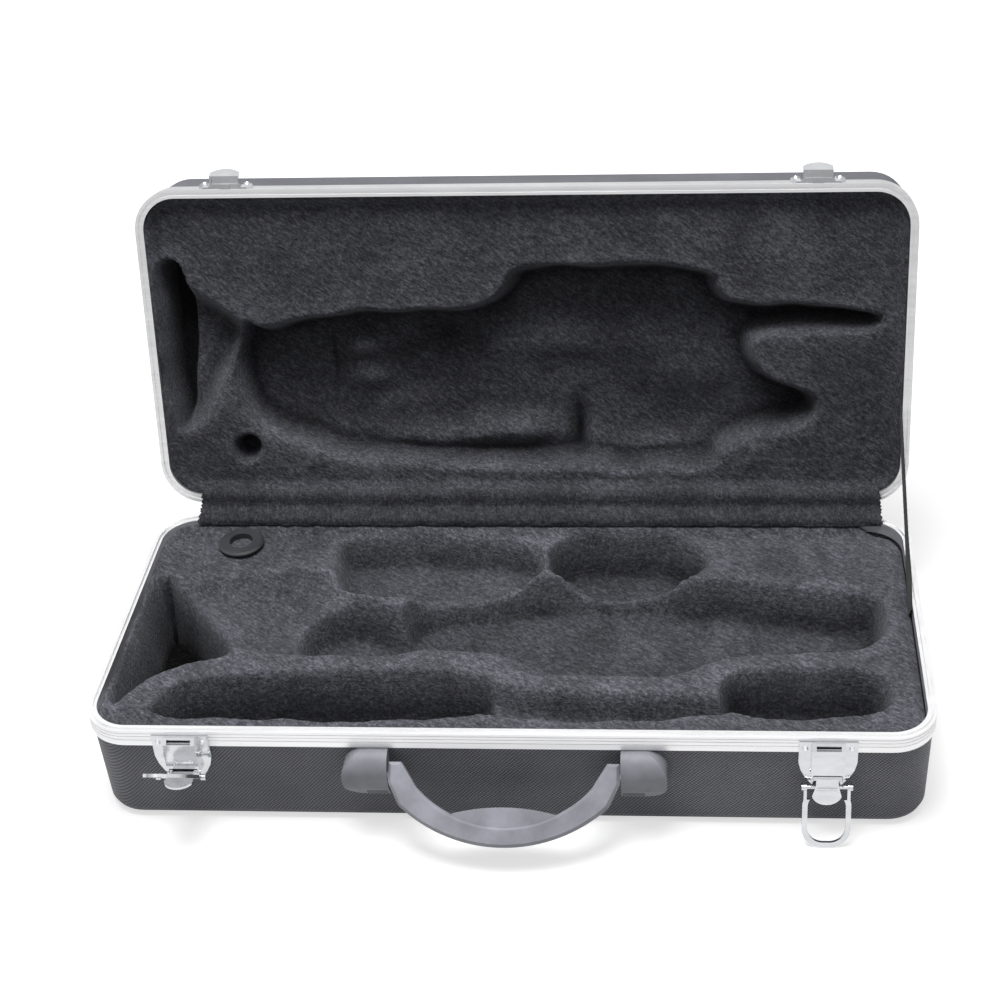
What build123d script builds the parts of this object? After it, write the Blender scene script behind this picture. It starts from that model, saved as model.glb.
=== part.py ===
from build123d import *
import math
import os

os.makedirs("parts", exist_ok=True)

# Trumpet case lying open on a table. Millimetres, Z up, origin at the centre
# of the underside of the base. The front with the handle faces -Y.

# Overall size
CASE_WIDTH = 550.0
CASE_DEPTH = 235.0
CORNER_RADIUS = 30.0
RIM_HEIGHT = 79.0
VALANCE_HEIGHT = 12.0
VALANCE_WIDTH = 6.0
VALANCE_LEG = 1.8
VALANCE_INNER_LEG = 1.5
VALANCE_WEB = 1.5
VALANCE_INNER_DEPTH = 9.0
RIB_DEPTH = 0.5
RIB_EDGES = [1.6, 2.3, 4.1, 4.8, 7.0, 7.7]
TONGUE_INSET = 2.4
TONGUE_WIDTH = 1.4
TONGUE_HEIGHT = 1.3
LID_GAP = 0.4
TONGUE_CLEARANCE = 0.35

# Moulded shells
SHELL_WALL = 2.7
SHELL_DRAFT = 1.0
SHELL_EDGE_RADIUS = 5.0
PLINTH_HEIGHT = 3.0
PLINTH_WIDTH = 460.0
PLINTH_DEPTH = 150.0
PLINTH_RADIUS = 20.0
LID_SHELL_RISE = 46.0
LID_PANEL_HEIGHT = 2.0
LID_PANEL_WIDTH = 450.0
LID_PANEL_DEPTH = 145.0

# Liners
LINER_DROP = 7.0
LINER_FIT = 0.05
LINER_BOTTOM_CHAMFER = 6.0
POCKET_CORNER = 6.0
MAIN_FLOOR = -42.0
THROAT_FLOOR = -40.0
BELL_FLOOR = -62.0
BELL_SHELF = -17.0
FRONT_LEFT_FLOOR = -50.0
FRONT_MIDDLE_FLOOR = -28.0
FRONT_RIGHT_FLOOR = -48.0
POCKET_A_FLOOR = -32.0
POCKET_B_FLOOR = -46.0
LID_MAIN_FLOOR = 38.0
LID_BELL_FLOOR = 47.0
LID_HOLLOW_FLOOR = 24.0
LID_HOLLOW_BACK = 40.0
EDGE_BLOCK_WIDTH = 13.0
BELL_JOINT = -190.0
HOLDER_JOINT = 64.0
THROAT_JOINT = -104.0
VALVE_JOINT = 12.0
RIGHT_JOINT = 134.0
FRONT_LEFT_JOINT = -50.0
FRONT_RIGHT_JOINT = -33.0
LID_BELL_JOINT = -190.0
LID_MIDDLE_JOINT = -12.0
LID_RIGHT_JOINT = 144.0
LID_CORNER_JOINT = 56.0

# Lid hinge
HINGE_BACK = 7.0
HINGE_DROP = 1.0
LID_OPEN_ANGLE = 104.0
HINGE_SPACING = 170.0
HINGE_LENGTH = 60.0
HINGE_SEGMENTS = 3
HINGE_SEGMENT_GAP = 0.4
HINGE_LEAF = 1.4
HINGE_LEAF_HEIGHT = 12.0
KNUCKLE_RADIUS = 2.6
HINGE_PIN_RADIUS = 1.25
HINGE_PIN_CLEARANCE = 0.06
HINGE_PIN_HEAD_RADIUS = 2.0
HINGE_PIN_HEAD = 1.0
HINGE_RIVET_X = 20.0
RIVET_RADIUS = 2.0
RIVET_HEIGHT = 1.1
RIVET_TAPER = 38.0
RIVET_SIDES = 12
HINGE_RIVET_DROP = 8.0

# Mouthpiece holder
HOLDER_SIDE = 63.0
HOLDER_BACK = 24.5
HOLDER_FLANGE_RADIUS = 16.5
HOLDER_FLANGE = 2.5
HOLDER_FLANGE_CHAMFER = 1.4
HOLDER_BORE_RADIUS = 8.5
HOLDER_TUBE_WALL = 2.0
HOLDER_TUBE_LENGTH = 34.0

# Latches
LEFT_LATCH_X = -208.0
RIGHT_LATCH_X = 205.0
LATCH_PLATE_WIDTH = 37.0
LATCH_PLATE_TOP = -2.5
LATCH_PLATE_BOTTOM = -38.5
LATCH_PLATE_PROUD = 1.5
LATCH_FOOT_WIDTH = 19.0
LATCH_RIVET_X = 14.6
LATCH_RIVET_Z = -7.5
BRIDGE_WIDTH = 21.0
BRIDGE_WALL = 1.2
BRIDGE_PROUD = 5.0
BRIDGE_TOP = -2.5
BRIDGE_FRONT_BOTTOM = -26.2
BRIDGE_SLOT_WIDTH = 15.5
BRIDGE_SLOT_HEIGHT = 2.4
LEVER_PIVOT_Z = -29.5
LEVER_PIVOT_OUT = 5.0
LEVER_PIN_RADIUS = 0.9
LEVER_PIN_CLEARANCE = 0.05
LEVER_BARREL_RADIUS = 1.9
LEVER_BARREL_WIDTH = 17.6
EAR_RADIUS = 2.7
LEVER_TOP_WIDTH = 13.6
LEVER_MAX_WIDTH = 18.7
LEVER_END = -51.4
LEVER_ROUND_RISE = 7.5
LEVER_THICKNESS = 1.5
ROD_Z = -37.0
ROD_OUT = 6.2
ROD_RADIUS = 1.2
ROD_CLEARANCE = 0.05
ROD_BARREL_RADIUS = 2.3
BAIL_EYE_X = 14.6
BAIL_EYE_RADIUS = 2.1
BAIL_EYE_WIDTH = 3.2
BAIL_WIDTH = 31.0
BAIL_WIRE_WIDTH = 3.4
BAIL_NECK_WIDTH = 2.0
BAIL_NECK_LENGTH = 8.5
BAIL_THICKNESS = 2.2
BAIL_LENGTH = 43.0
BAIL_END_RADIUS = 13.0
RIGHT_BAIL_LEAN = 15.0
LEFT_LEVER_LIFT = 100.0
LEFT_BAIL_LIFT = 135.0

# Keepers on the lid
KEEPER_WIDTH = 38.0
KEEPER_LOW = 1.0
KEEPER_HIGH = 10.6
KEEPER_PLATE = 1.4
KEEPER_WING_INNER = 11.6
KEEPER_WING_CUT = 3.4
KEEPER_WING_RISE = 1.8
KEEPER_WING_TAPER = 25.0
KEEPER_HOOK_WIDTH = 20.6
KEEPER_REACH = 9.3
KEEPER_FLARE = 12.6
KEEPER_SHELF = 2.3
KEEPER_LIP = 1.3
KEEPER_LIP_SHOULDER = 6.0
KEEPER_TRAY_RIM = 1.1
KEEPER_TRAY_DEPTH = 1.5
KEEPER_RIVET_X = 15.0
KEEPER_RIVET_Z = 5.8
KEEPER_TAB_WIDTH = 7.4
KEEPER_TAB_REACH = 3.6
KEEPER_TAB_LOW = 0.3

# Handle
MOUNT_INNER = 74.5
MOUNT_OUTER = 104.0
MOUNT_TOP = -12.6
MOUNT_BOTTOM = -45.5
MOUNT_PROUD = 13.5
MOUNT_TOP_LIP = 1.0
MOUNT_CREST = -26.0
MOUNT_CHIN = -37.0
MOUNT_CHIN_PROUD = 11.5
MOUNT_FOOT_PROUD = 7.0
MOUNT_END_RADIUS = 14.0
MOUNT_PATCH_DEPTH = 0.6
MOUNT_PATCH_WIDTH = 14.0
MOUNT_PATCH_STEP = 2.1
MOUNT_PATCH_ROWS = 3
HANDLE_PIVOT_Z = -28.0
HANDLE_PIVOT_OUT = 9.0
HANDLE_PIN_RADIUS = 3.0
HANDLE_PIN_CLEARANCE = 0.08
HANDLE_PIN_LENGTH = 8.0
HANDLE_REST_ANGLE = 45.0
GRIP_SIDE_GAP = 0.6
GRIP_THICKNESS = 10.0
GRIP_LENS_LOW = -7.0
GRIP_LENS_HIGH = 3.6
GRIP_EDGE_CHAMFER = 2.0
GRIP_BEND_RADIUS = 10.0
GRIP_REACH = 44.2
GRIP_BAND = 13.0
GRIP_OUTER_X = 67.0
GRIP_OUTER_DROP = 18.5
GRIP_INNER_X = 56.0
GRIP_INNER_DROP = 7.0
GRIP_END_INNER_X = 66.0
GRIP_SHOULDER_DROP = 4.0
GRIP_ABOVE_PIVOT = 9.0
GRIP_LENS_CHAMFER = 2.0
GRIP_LENS_LENGTH = 84.0
GRIP_LENS_DROP = 26.0
GRIP_LENS_TOP_DROP = 19.0
GRIP_LENS_BOTTOM_DROP = 40.0

# Stay and hinge strip
STAY_WIDTH = 14.0
STAY_THICKNESS = 1.2
STAY_BASE_Y = 15.0
STAY_LID_V = 70.0
STAY_SIDE_GAP = 0.4
STAY_LID_GAP = 0.3
STAY_TRIM = 20.0
STRIP_THICKNESS = 2.0
STRIP_GAP = 0.3
STRIP_HALF_WIDTH = 246.0

hinge_y = CASE_DEPTH / 2 + HINGE_BACK
hinge_z = RIM_HEIGHT - HINGE_DROP
front_y = -CASE_DEPTH / 2
back_y = CASE_DEPTH / 2
lid_rim = RIM_HEIGHT + LID_GAP
shell_inset = VALANCE_LEG
hinge_axis = Axis((0, hinge_y, hinge_z), (1, 0, 0))
left_end = -CASE_WIDTH / 2
right_end = CASE_WIDTH / 2
edge_joint = left_end + EDGE_BLOCK_WIDTH


def plate_outline(inset, radius=CORNER_RADIUS):
    """Rounded outline of the case drawn in by an inset on every side."""
    width = CASE_WIDTH - 2 * inset
    depth = CASE_DEPTH - 2 * inset
    corner = max(radius - inset, 2.0)
    return RectangleRounded(width, depth, corner)


def slab(inset, low, high):
    """Solid slab of the case outline between two heights."""
    return Pos(0, 0, low) * extrude(plate_outline(inset), high - low)


def ring(outer_inset, inner_inset, low, high):
    """Rounded ring between two insets and two heights."""
    return slab(outer_inset, low, high) - slab(inner_inset, low - 1, high + 1)


def tray(top, straight, bottom, inset, draft, radius):
    """Drafted tray block with a rounded edge round its closed face."""
    upper = slab(inset, min(top, straight), max(top, straight))
    side = 1 if bottom < straight else -1
    sections = [Pos(0, 0, straight) * plate_outline(inset)]
    for angle in (0, 45, 90):
        rise = radius * (1 - math.sin(math.radians(angle)))
        draw = radius * (1 - math.cos(math.radians(angle)))
        sections.append(Pos(0, 0, bottom + side * rise) * plate_outline(inset + draft + draw))
    return upper + loft(sections, ruled=True)


def box(x0, x1, y0, y1, z0, z1):
    """Axis-aligned block from its limits."""
    block = Box(x1 - x0, y1 - y0, z1 - z0)
    return Pos((x0 + x1) / 2, (y0 + y1) / 2, (z0 + z1) / 2) * block


def rounded_polygon(points, radius):
    """Flat polygon with its corners rounded in and out."""
    flat = make_face(Polyline(*points, close=True))
    flat = offset(flat, amount=-radius, kind=Kind.ARC)
    flat = offset(flat, amount=2 * radius, kind=Kind.ARC)
    return offset(flat, amount=-radius, kind=Kind.ARC)


def pocket(points, low, high, radius=POCKET_CORNER):
    """Upright pocket cutter over a polygon."""
    return Pos(0, 0, low) * extrude(rounded_polygon(points, radius), high - low)


def cylinder_x(radius, x0, x1, y, z):
    """Cylinder along X."""
    body = Cylinder(radius, x1 - x0)
    return Pos((x0 + x1) / 2, y, z) * Rot(0, 90, 0) * body


def cylinder_y(radius, x, y0, y1, z):
    """Cylinder along Y."""
    body = Cylinder(radius, y1 - y0)
    return Pos(x, (y0 + y1) / 2, z) * Rot(90, 0, 0) * body


def cylinder_z(radius, x, y, z0, z1):
    """Upright cylinder."""
    return Pos(x, y, (z0 + z1) / 2) * Cylinder(radius, z1 - z0)


def opened(shape):
    """Turn a piece built on the closed lid to where the open lid stands."""
    return shape.rotate(hinge_axis, -LID_OPEN_ANGLE)


def rivet(x, face_y, z, outward):
    """Low conical rivet head standing on a face that looks along -Y or +Y."""
    head = extrude(RegularPolygon(RIVET_RADIUS, RIVET_SIDES), RIVET_HEIGHT, taper=RIVET_TAPER)
    return Pos(x, face_y, z) * Rot(-90 * outward, 0, 0) * head


def save(shape, name):
    """Write one node."""
    export_step(shape, "parts/" + name + ".step")


# Base shell
valance_low = RIM_HEIGHT - VALANCE_HEIGHT
shell_top = RIM_HEIGHT - VALANCE_WEB
straight_low = valance_low - 2.0
outer_tray = tray(shell_top, straight_low, PLINTH_HEIGHT, shell_inset, SHELL_DRAFT, SHELL_EDGE_RADIUS)
plinth = extrude(RectangleRounded(PLINTH_WIDTH, PLINTH_DEPTH, PLINTH_RADIUS), PLINTH_HEIGHT + 1, taper=0)
outer_shell = outer_tray + plinth
floor_z = PLINTH_HEIGHT + SHELL_WALL
inner_tray = tray(
    shell_top + 1,
    straight_low,
    floor_z,
    shell_inset + SHELL_WALL,
    SHELL_DRAFT,
    SHELL_EDGE_RADIUS - SHELL_WALL,
)
plinth_inner = Pos(0, 0, SHELL_WALL) * extrude(
    RectangleRounded(
        PLINTH_WIDTH - 2 * SHELL_WALL,
        PLINTH_DEPTH - 2 * SHELL_WALL,
        PLINTH_RADIUS - SHELL_WALL,
    ),
    PLINTH_HEIGHT + 1,
)
base_shell = outer_shell - inner_tray - plinth_inner
save(base_shell, "base_shell")


def ribbed_valance(rim, upward):
    """Extruded edge trim: channel on the shell edge with ribs outside."""
    heights = [0.0, *RIB_EDGES, VALANCE_HEIGHT]
    trim = None
    for index in range(len(heights) - 1):
        inset = RIB_DEPTH if index % 2 == 1 else 0.0
        first = rim + upward * heights[index]
        second = rim + upward * heights[index + 1]
        layer = ring(inset, VALANCE_LEG, min(first, second), max(first, second))
        trim = layer if trim is None else trim + layer
    web_end = rim + upward * VALANCE_WEB
    web = ring(VALANCE_LEG - 0.1, VALANCE_WIDTH, min(rim, web_end), max(rim, web_end))
    leg_end = rim + upward * VALANCE_INNER_DEPTH
    leg = ring(
        VALANCE_WIDTH - VALANCE_INNER_LEG,
        VALANCE_WIDTH,
        min(rim, leg_end),
        max(rim, leg_end),
    )
    return trim + web + leg


tongue = ring(TONGUE_INSET, TONGUE_INSET + TONGUE_WIDTH, RIM_HEIGHT - 0.2, RIM_HEIGHT + TONGUE_HEIGHT)
base_valance = ribbed_valance(RIM_HEIGHT, -1) + tongue
save(base_valance, "base_valance")

# Base liner with its recesses
liner_top = RIM_HEIGHT - LINER_DROP
liner_block = loft(
    [
        Pos(0, 0, liner_top) * plate_outline(VALANCE_WIDTH + LINER_FIT),
        Pos(0, 0, floor_z) * plate_outline(shell_inset + SHELL_WALL + SHELL_DRAFT),
    ]
)
liner_block = chamfer(liner_block.edges().group_by(Axis.Z)[0], LINER_BOTTOM_CHAMFER)
bell_slot_outline = [(-262, 60), (-240, 34), (-222, 14), (-198, -14), (-192, -31), (-224, -38), (-248, -54), (-262, -88)]
bell_shelf_outline = [
    (-244, 40),
    (-226, 20),
    (-202, -10),
    (-194, -28),
    (-110, -28),
    (-100, -20),
    (-98, 28),
    (-124, 34),
    (-134, 44),
    (-140, 62),
    (-186, 62),
    (-214, 60),
]
throat_outline = [(-158, 16), (-124, 33), (-98, 30), (-72, 12), (-62, -8), (-66, -26), (-110, -29), (-150, -26)]
main_outline = [
    (-84, 8),
    (-84, -22),
    (-44, -25),
    (-21, -25),
    (-2, -30),
    (13, -41),
    (30, -46),
    (112, -46),
    (128, -34),
    (144, -26),
    (223, -20),
    (240, -12),
    (250, 0),
    (250, 38),
    (223, 40),
    (165, 48),
    (134, 56),
    (18, 58),
    (-20, 50),
    (-76, 40),
]
pocket_a_outline = [(-141, 96), (-136, 46), (-122, 38), (-90, 34), (-70, 36), (14, 54), (12, 98), (-60, 102), (-124, 102)]
pocket_b_outline = [(14, 106), (18, 52), (128, 54), (128, 106)]
front_left_outline = [(-240, -92), (-232, -72), (-214, -56), (-180, -52), (-60, -46), (-28, -46), (-10, -56), (-8, -92)]
front_middle_outline = [(-30, -92), (-26, -56), (16, -66), (34, -68), (150, -68), (152, -88)]
front_right_outline = [(140, -88), (140, -54), (156, -44), (226, -40), (246, -48), (250, -86)]
recess_cutters = [
    (bell_slot_outline, BELL_FLOOR),
    (bell_shelf_outline, BELL_SHELF),
    (throat_outline, THROAT_FLOOR),
    (main_outline, MAIN_FLOOR),
    (pocket_a_outline, POCKET_A_FLOOR),
    (pocket_b_outline, POCKET_B_FLOOR),
    (front_left_outline, FRONT_LEFT_FLOOR),
    (front_middle_outline, FRONT_MIDDLE_FLOOR),
    (front_right_outline, FRONT_RIGHT_FLOOR),
]
base_liner = liner_block
for outline, level in recess_cutters:
    base_liner = base_liner - pocket(outline, RIM_HEIGHT + level, RIM_HEIGHT + 5)

# Mouthpiece holder, a flanged plastic socket in the rear left corner
holder_x = left_end + HOLDER_SIDE
holder_y = back_y - HOLDER_BACK
holder_low = liner_top - HOLDER_TUBE_LENGTH
holder_outer = HOLDER_BORE_RADIUS + HOLDER_TUBE_WALL
socket = cylinder_z(holder_outer, holder_x, holder_y, holder_low, liner_top + 0.5)
flange = cylinder_z(HOLDER_FLANGE_RADIUS, holder_x, holder_y, liner_top, liner_top + HOLDER_FLANGE)
flange = chamfer(flange.edges().group_by(Axis.Z)[-1], HOLDER_FLANGE_CHAMFER)
bore = cylinder_z(HOLDER_BORE_RADIUS, holder_x, holder_y, holder_low + HOLDER_TUBE_WALL, liner_top + 9)
mouthpiece_holder = socket + flange - bore
save(mouthpiece_holder, "mouthpiece_holder")
base_liner = base_liner - cylinder_z(holder_outer, holder_x, holder_y, holder_low, liner_top + 1)


def liner_part(liner, x0, x1, y0, y1):
    """One of the foam blocks that a liner is glued up from."""
    return liner & box(x0, x1, y0, y1, 0.0, 2 * RIM_HEIGHT)


base_blocks = {
    "edge": (left_end, edge_joint, front_y, back_y),
    "holder": (edge_joint, BELL_JOINT, HOLDER_JOINT, back_y),
    "bell": (edge_joint, BELL_JOINT, FRONT_LEFT_JOINT, HOLDER_JOINT),
    "throat": (BELL_JOINT, THROAT_JOINT, FRONT_LEFT_JOINT, back_y),
    "front_left": (edge_joint, THROAT_JOINT, front_y, FRONT_LEFT_JOINT),
    "middle": (THROAT_JOINT, VALVE_JOINT, front_y, back_y),
    "valve": (VALVE_JOINT, RIGHT_JOINT, front_y, back_y),
    "right": (RIGHT_JOINT, right_end, FRONT_RIGHT_JOINT, back_y),
    "front_right": (RIGHT_JOINT, right_end, front_y, FRONT_RIGHT_JOINT),
}
for name, limits in base_blocks.items():
    save(liner_part(base_liner, *limits), "base_liner_" + name)

# Lid shell, built closed and then opened
lid_straight = lid_rim + VALANCE_HEIGHT + 2.0
lid_top = lid_rim + VALANCE_HEIGHT + LID_SHELL_RISE
lid_outer = tray(
    lid_rim + VALANCE_WEB,
    lid_straight,
    lid_top,
    shell_inset,
    SHELL_DRAFT,
    SHELL_EDGE_RADIUS,
)
lid_inner = tray(
    lid_rim,
    lid_straight,
    lid_top - SHELL_WALL,
    shell_inset + SHELL_WALL,
    SHELL_DRAFT,
    SHELL_EDGE_RADIUS - SHELL_WALL,
)
panel = Pos(0, 0, lid_top - 1) * extrude(
    RectangleRounded(LID_PANEL_WIDTH, LID_PANEL_DEPTH, PLINTH_RADIUS), 1 + LID_PANEL_HEIGHT
)
lid_shell = lid_outer + panel - lid_inner
save(opened(lid_shell), "lid_shell")
lid_groove = ring(
    TONGUE_INSET - TONGUE_CLEARANCE,
    TONGUE_INSET + TONGUE_WIDTH + TONGUE_CLEARANCE,
    lid_rim - 1,
    RIM_HEIGHT + TONGUE_HEIGHT + TONGUE_CLEARANCE,
)
lid_valance = ribbed_valance(lid_rim, 1) - lid_groove
save(opened(lid_valance), "lid_valance")


def lid_points(points):
    """Turn widths and distances from the hinge side into closed-lid points."""
    return [(x, CASE_DEPTH / 2 - v) for x, v in points]


lid_liner_face = lid_rim + LINER_DROP
lid_ceiling = lid_top - SHELL_WALL
lid_block = loft(
    [
        Pos(0, 0, lid_liner_face) * plate_outline(VALANCE_WIDTH + LINER_FIT),
        Pos(0, 0, lid_ceiling) * plate_outline(shell_inset + SHELL_WALL + SHELL_DRAFT),
    ]
)
lid_block = chamfer(lid_block.edges().group_by(Axis.Z)[-1], LINER_BOTTOM_CHAMFER)
lid_main_outline = lid_points(
    [
        (-206, 138),
        (-194, 128),
        (-165, 136),
        (-125, 141),
        (-31, 141),
        (-16, 156),
        (-9, 174),
        (25, 174),
        (134, 173),
        (136, 153),
        (150, 143),
        (250, 143),
        (251, 126),
        (161, 127),
        (160, 108),
        (170, 94),
        (205, 81),
        (210, 67),
        (202, 58),
        (142, 41),
        (138, 24),
        (60, 24),
        (-53, 27),
        (-142, 31),
        (-158, 40),
        (-204, 56),
        (-219, 97),
    ]
)
lid_bell_outline = lid_points([(-262, 58), (-262, 188), (-241, 165), (-200, 134), (-214, 97), (-226, 56)])
lid_recesses = [(lid_main_outline, LID_MAIN_FLOOR), (lid_bell_outline, LID_BELL_FLOOR)]
lid_liner = lid_block
for outline, level in lid_recesses:
    lid_liner = lid_liner - pocket(outline, lid_rim - 2, lid_rim + level, 5.0)
hollow_y = back_y - LID_HOLLOW_BACK
hollow_radius = HOLDER_FLANGE_RADIUS - 3.0
lid_liner = lid_liner - cylinder_z(hollow_radius, holder_x, hollow_y, lid_rim, lid_rim + LID_HOLLOW_FLOOR)
corner_y = CASE_DEPTH / 2 - LID_CORNER_JOINT
lid_blocks = {
    "bell": (left_end, LID_BELL_JOINT, front_y, corner_y),
    "corner": (left_end, LID_BELL_JOINT, corner_y, back_y),
    "middle": (LID_BELL_JOINT, LID_MIDDLE_JOINT, front_y, back_y),
    "valve": (LID_MIDDLE_JOINT, LID_RIGHT_JOINT, front_y, back_y),
    "right": (LID_RIGHT_JOINT, right_end, front_y, back_y),
}
for name, limits in lid_blocks.items():
    save(opened(liner_part(lid_liner, *limits)), "lid_liner_" + name)

# Hinges: three pairs of leaves with interleaved knuckles
segment = HINGE_LENGTH / HINGE_SEGMENTS


def leaf(centre, first, on_lid):
    """One hinge leaf: plate, fingers and knuckles at every other segment."""
    x0 = centre - HINGE_LENGTH / 2
    x1 = centre + HINGE_LENGTH / 2
    if on_lid:
        plate_low = lid_rim + 0.6
        plate_high = plate_low + HINGE_LEAF_HEIGHT
        arm_low = lid_rim + 0.6
        arm_high = arm_low + HINGE_LEAF
    else:
        plate_high = RIM_HEIGHT - 1.4
        plate_low = plate_high - HINGE_LEAF_HEIGHT
        arm_high = RIM_HEIGHT - 1.4
        arm_low = arm_high - HINGE_LEAF
    plate = box(x0, x1, back_y, back_y + HINGE_LEAF, plate_low, plate_high)
    radius = HINGE_PIN_RADIUS + (HINGE_PIN_CLEARANCE if on_lid else 0.0)
    piece = plate
    for index in range(first, HINGE_SEGMENTS, 2):
        s0 = x0 + index * segment + (HINGE_SEGMENT_GAP / 2 if index > 0 else 0.0)
        s1 = x0 + (index + 1) * segment
        s1 = s1 - (HINGE_SEGMENT_GAP / 2 if index < HINGE_SEGMENTS - 1 else 0.0)
        piece = piece + box(s0, s1, back_y, hinge_y, arm_low, arm_high)
        piece = piece + cylinder_x(KNUCKLE_RADIUS, s0, s1, hinge_y, hinge_z)
    return piece - cylinder_x(radius, x0 - 1, x1 + 1, hinge_y, hinge_z)


base_leaves = []
lid_leaves = []
pins = []
base_rivets = []
lid_rivets = []
for centre in (-HINGE_SPACING, 0.0, HINGE_SPACING):
    base_leaves.append(leaf(centre, 0, False))
    lid_leaves.append(opened(leaf(centre, 1, True)))
    x0 = centre - HINGE_LENGTH / 2
    x1 = centre + HINGE_LENGTH / 2
    pin = cylinder_x(HINGE_PIN_RADIUS, x0, x1, hinge_y, hinge_z)
    pin = pin + cylinder_x(HINGE_PIN_HEAD_RADIUS, x0 - HINGE_PIN_HEAD, x0, hinge_y, hinge_z)
    pin = pin + cylinder_x(HINGE_PIN_HEAD_RADIUS, x1, x1 + HINGE_PIN_HEAD, hinge_y, hinge_z)
    pins.append(pin)
    for side in (-1, 1):
        x = centre + side * HINGE_RIVET_X
        leaf_face = back_y + HINGE_LEAF
        base_rivets.append(rivet(x, leaf_face, RIM_HEIGHT - HINGE_RIVET_DROP, 1))
        lid_rivets.append(opened(rivet(x, leaf_face, lid_rim + HINGE_RIVET_DROP - 0.6, 1)))
save(Compound(children=base_leaves), "hinge_leaves_base")
save(Compound(children=lid_leaves), "hinge_leaves_lid")
save(Compound(children=pins), "hinge_pins")

# Latches
lever_y = front_y - LEVER_PIVOT_OUT
lever_z = RIM_HEIGHT + LEVER_PIVOT_Z
rod_y = front_y - ROD_OUT
rod_z = RIM_HEIGHT + ROD_Z
plate_front = front_y - LATCH_PLATE_PROUD
bridge_front = plate_front - BRIDGE_PROUD
solid_base = outer_shell + slab(0.0, valance_low, RIM_HEIGHT)


def upright(flat, y0, y1):
    """Flat face drawn in X and Z and given a thickness along Y."""
    return Pos(0, y0, 0) * extrude(Plane.XZ * flat, y1 - y0, dir=(0, 1, 0))


def polygon(points):
    """Flat face inside a closed row of points."""
    return make_face(Polyline(*points, close=True))


def latch_plate(x):
    """Pressed plate with its raised bridge and two pivot ears."""
    half = LATCH_PLATE_WIDTH / 2
    foot = LATCH_FOOT_WIDTH / 2
    top = RIM_HEIGHT + LATCH_PLATE_TOP
    bottom = RIM_HEIGHT + LATCH_PLATE_BOTTOM
    outline = [
        (-half, top),
        (half, top),
        (half, top - 17),
        (half - 1.6, top - 24),
        (half - 4.6, top - 30),
        (foot, bottom),
        (-foot, bottom),
        (-half + 4.6, top - 30),
        (-half + 1.6, top - 24),
        (-half, top - 17),
    ]
    plate = Pos(x, 0, 0) * upright(polygon(outline), plate_front, plate_front + 6.0)
    plate = plate - solid_base
    bridge_half = BRIDGE_WIDTH / 2
    inner_half = bridge_half - BRIDGE_WALL
    bridge_top = RIM_HEIGHT + BRIDGE_TOP
    outer = box(x - bridge_half, x + bridge_half, bridge_front, plate_front, lever_z, bridge_top)
    slanted = [e for e in outer.edges() if abs(e.center().Y - bridge_front) < 0.01]
    slanted = [e for e in slanted if abs(e.center().Z - bridge_top) < 0.01]
    outer = chamfer(slanted, 3.4)
    inner_top = bridge_top - BRIDGE_WALL
    inner = box(
        x - inner_half,
        x + inner_half,
        bridge_front + BRIDGE_WALL,
        plate_front,
        lever_z - 1,
        inner_top,
    )
    inner_edge = [e for e in inner.edges() if abs(e.center().Y - bridge_front - BRIDGE_WALL) < 0.01]
    inner_edge = [e for e in inner_edge if abs(e.center().Z - inner_top) < 0.01]
    inner = chamfer(inner_edge, 3.4)
    front_low = RIM_HEIGHT + BRIDGE_FRONT_BOTTOM
    notch = box(x - inner_half, x + inner_half, bridge_front - 1, plate_front, lever_z - 1, front_low)
    slot_half = BRIDGE_SLOT_WIDTH / 2
    slot = box(
        x - slot_half,
        x + slot_half,
        bridge_front - 1,
        bridge_front + BRIDGE_PROUD * 0.7,
        bridge_top - 3.2,
        bridge_top - 3.2 + BRIDGE_SLOT_HEIGHT,
    )
    bridge = outer - inner - notch - slot
    for side in (-1, 1):
        a = x + side * inner_half
        b = x + side * bridge_half
        ear = cylinder_x(EAR_RADIUS, min(a, b), max(a, b), lever_y, lever_z)
        web = box(min(a, b), max(a, b), lever_y, plate_front, lever_z - 1.6, lever_z + 1)
        bridge = bridge + ear + web
    bridge = bridge - cylinder_x(LEVER_PIN_RADIUS, x - 20, x + 20, lever_y, lever_z)
    return plate + bridge


def latch_lever(x):
    """Curved thumb lever with pivot barrel and rod barrel, hanging down."""
    half_top = LEVER_TOP_WIDTH / 2
    half_max = LEVER_MAX_WIDTH / 2
    end = RIM_HEIGHT + LEVER_END
    front = lever_y - LEVER_BARREL_RADIUS
    shoulder = end + LEVER_ROUND_RISE
    sides = Polyline(
        (half_max, shoulder),
        (half_top + 0.5, lever_z - 6),
        (half_top, lever_z),
        (-half_top, lever_z),
        (-half_top - 0.5, lever_z - 6),
        (-half_max, shoulder),
    )
    tip = ThreePointArc((-half_max, shoulder), (0, end), (half_max, shoulder))
    tab = Pos(x, 0, 0) * upright(make_face(sides + tip), front, front + LEVER_THICKNESS)
    half_barrel = LEVER_BARREL_WIDTH / 2
    barrel = cylinder_x(LEVER_BARREL_RADIUS, x - half_barrel, x + half_barrel, lever_y, lever_z)
    carrier = cylinder_x(ROD_BARREL_RADIUS, x - 6.4, x + 6.4, rod_y + 0.6, rod_z)
    link = box(x - 6.4, x + 6.4, front, rod_y + 1.0, rod_z - 1.0, rod_z + 1.0)
    lever = tab + barrel + carrier + link
    lever = lever - cylinder_x(LEVER_PIN_RADIUS + LEVER_PIN_CLEARANCE, x - 20, x + 20, lever_y, lever_z)
    return lever - cylinder_x(ROD_RADIUS + ROD_CLEARANCE, x - 20, x + 20, rod_y + 0.6, rod_z)


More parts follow.
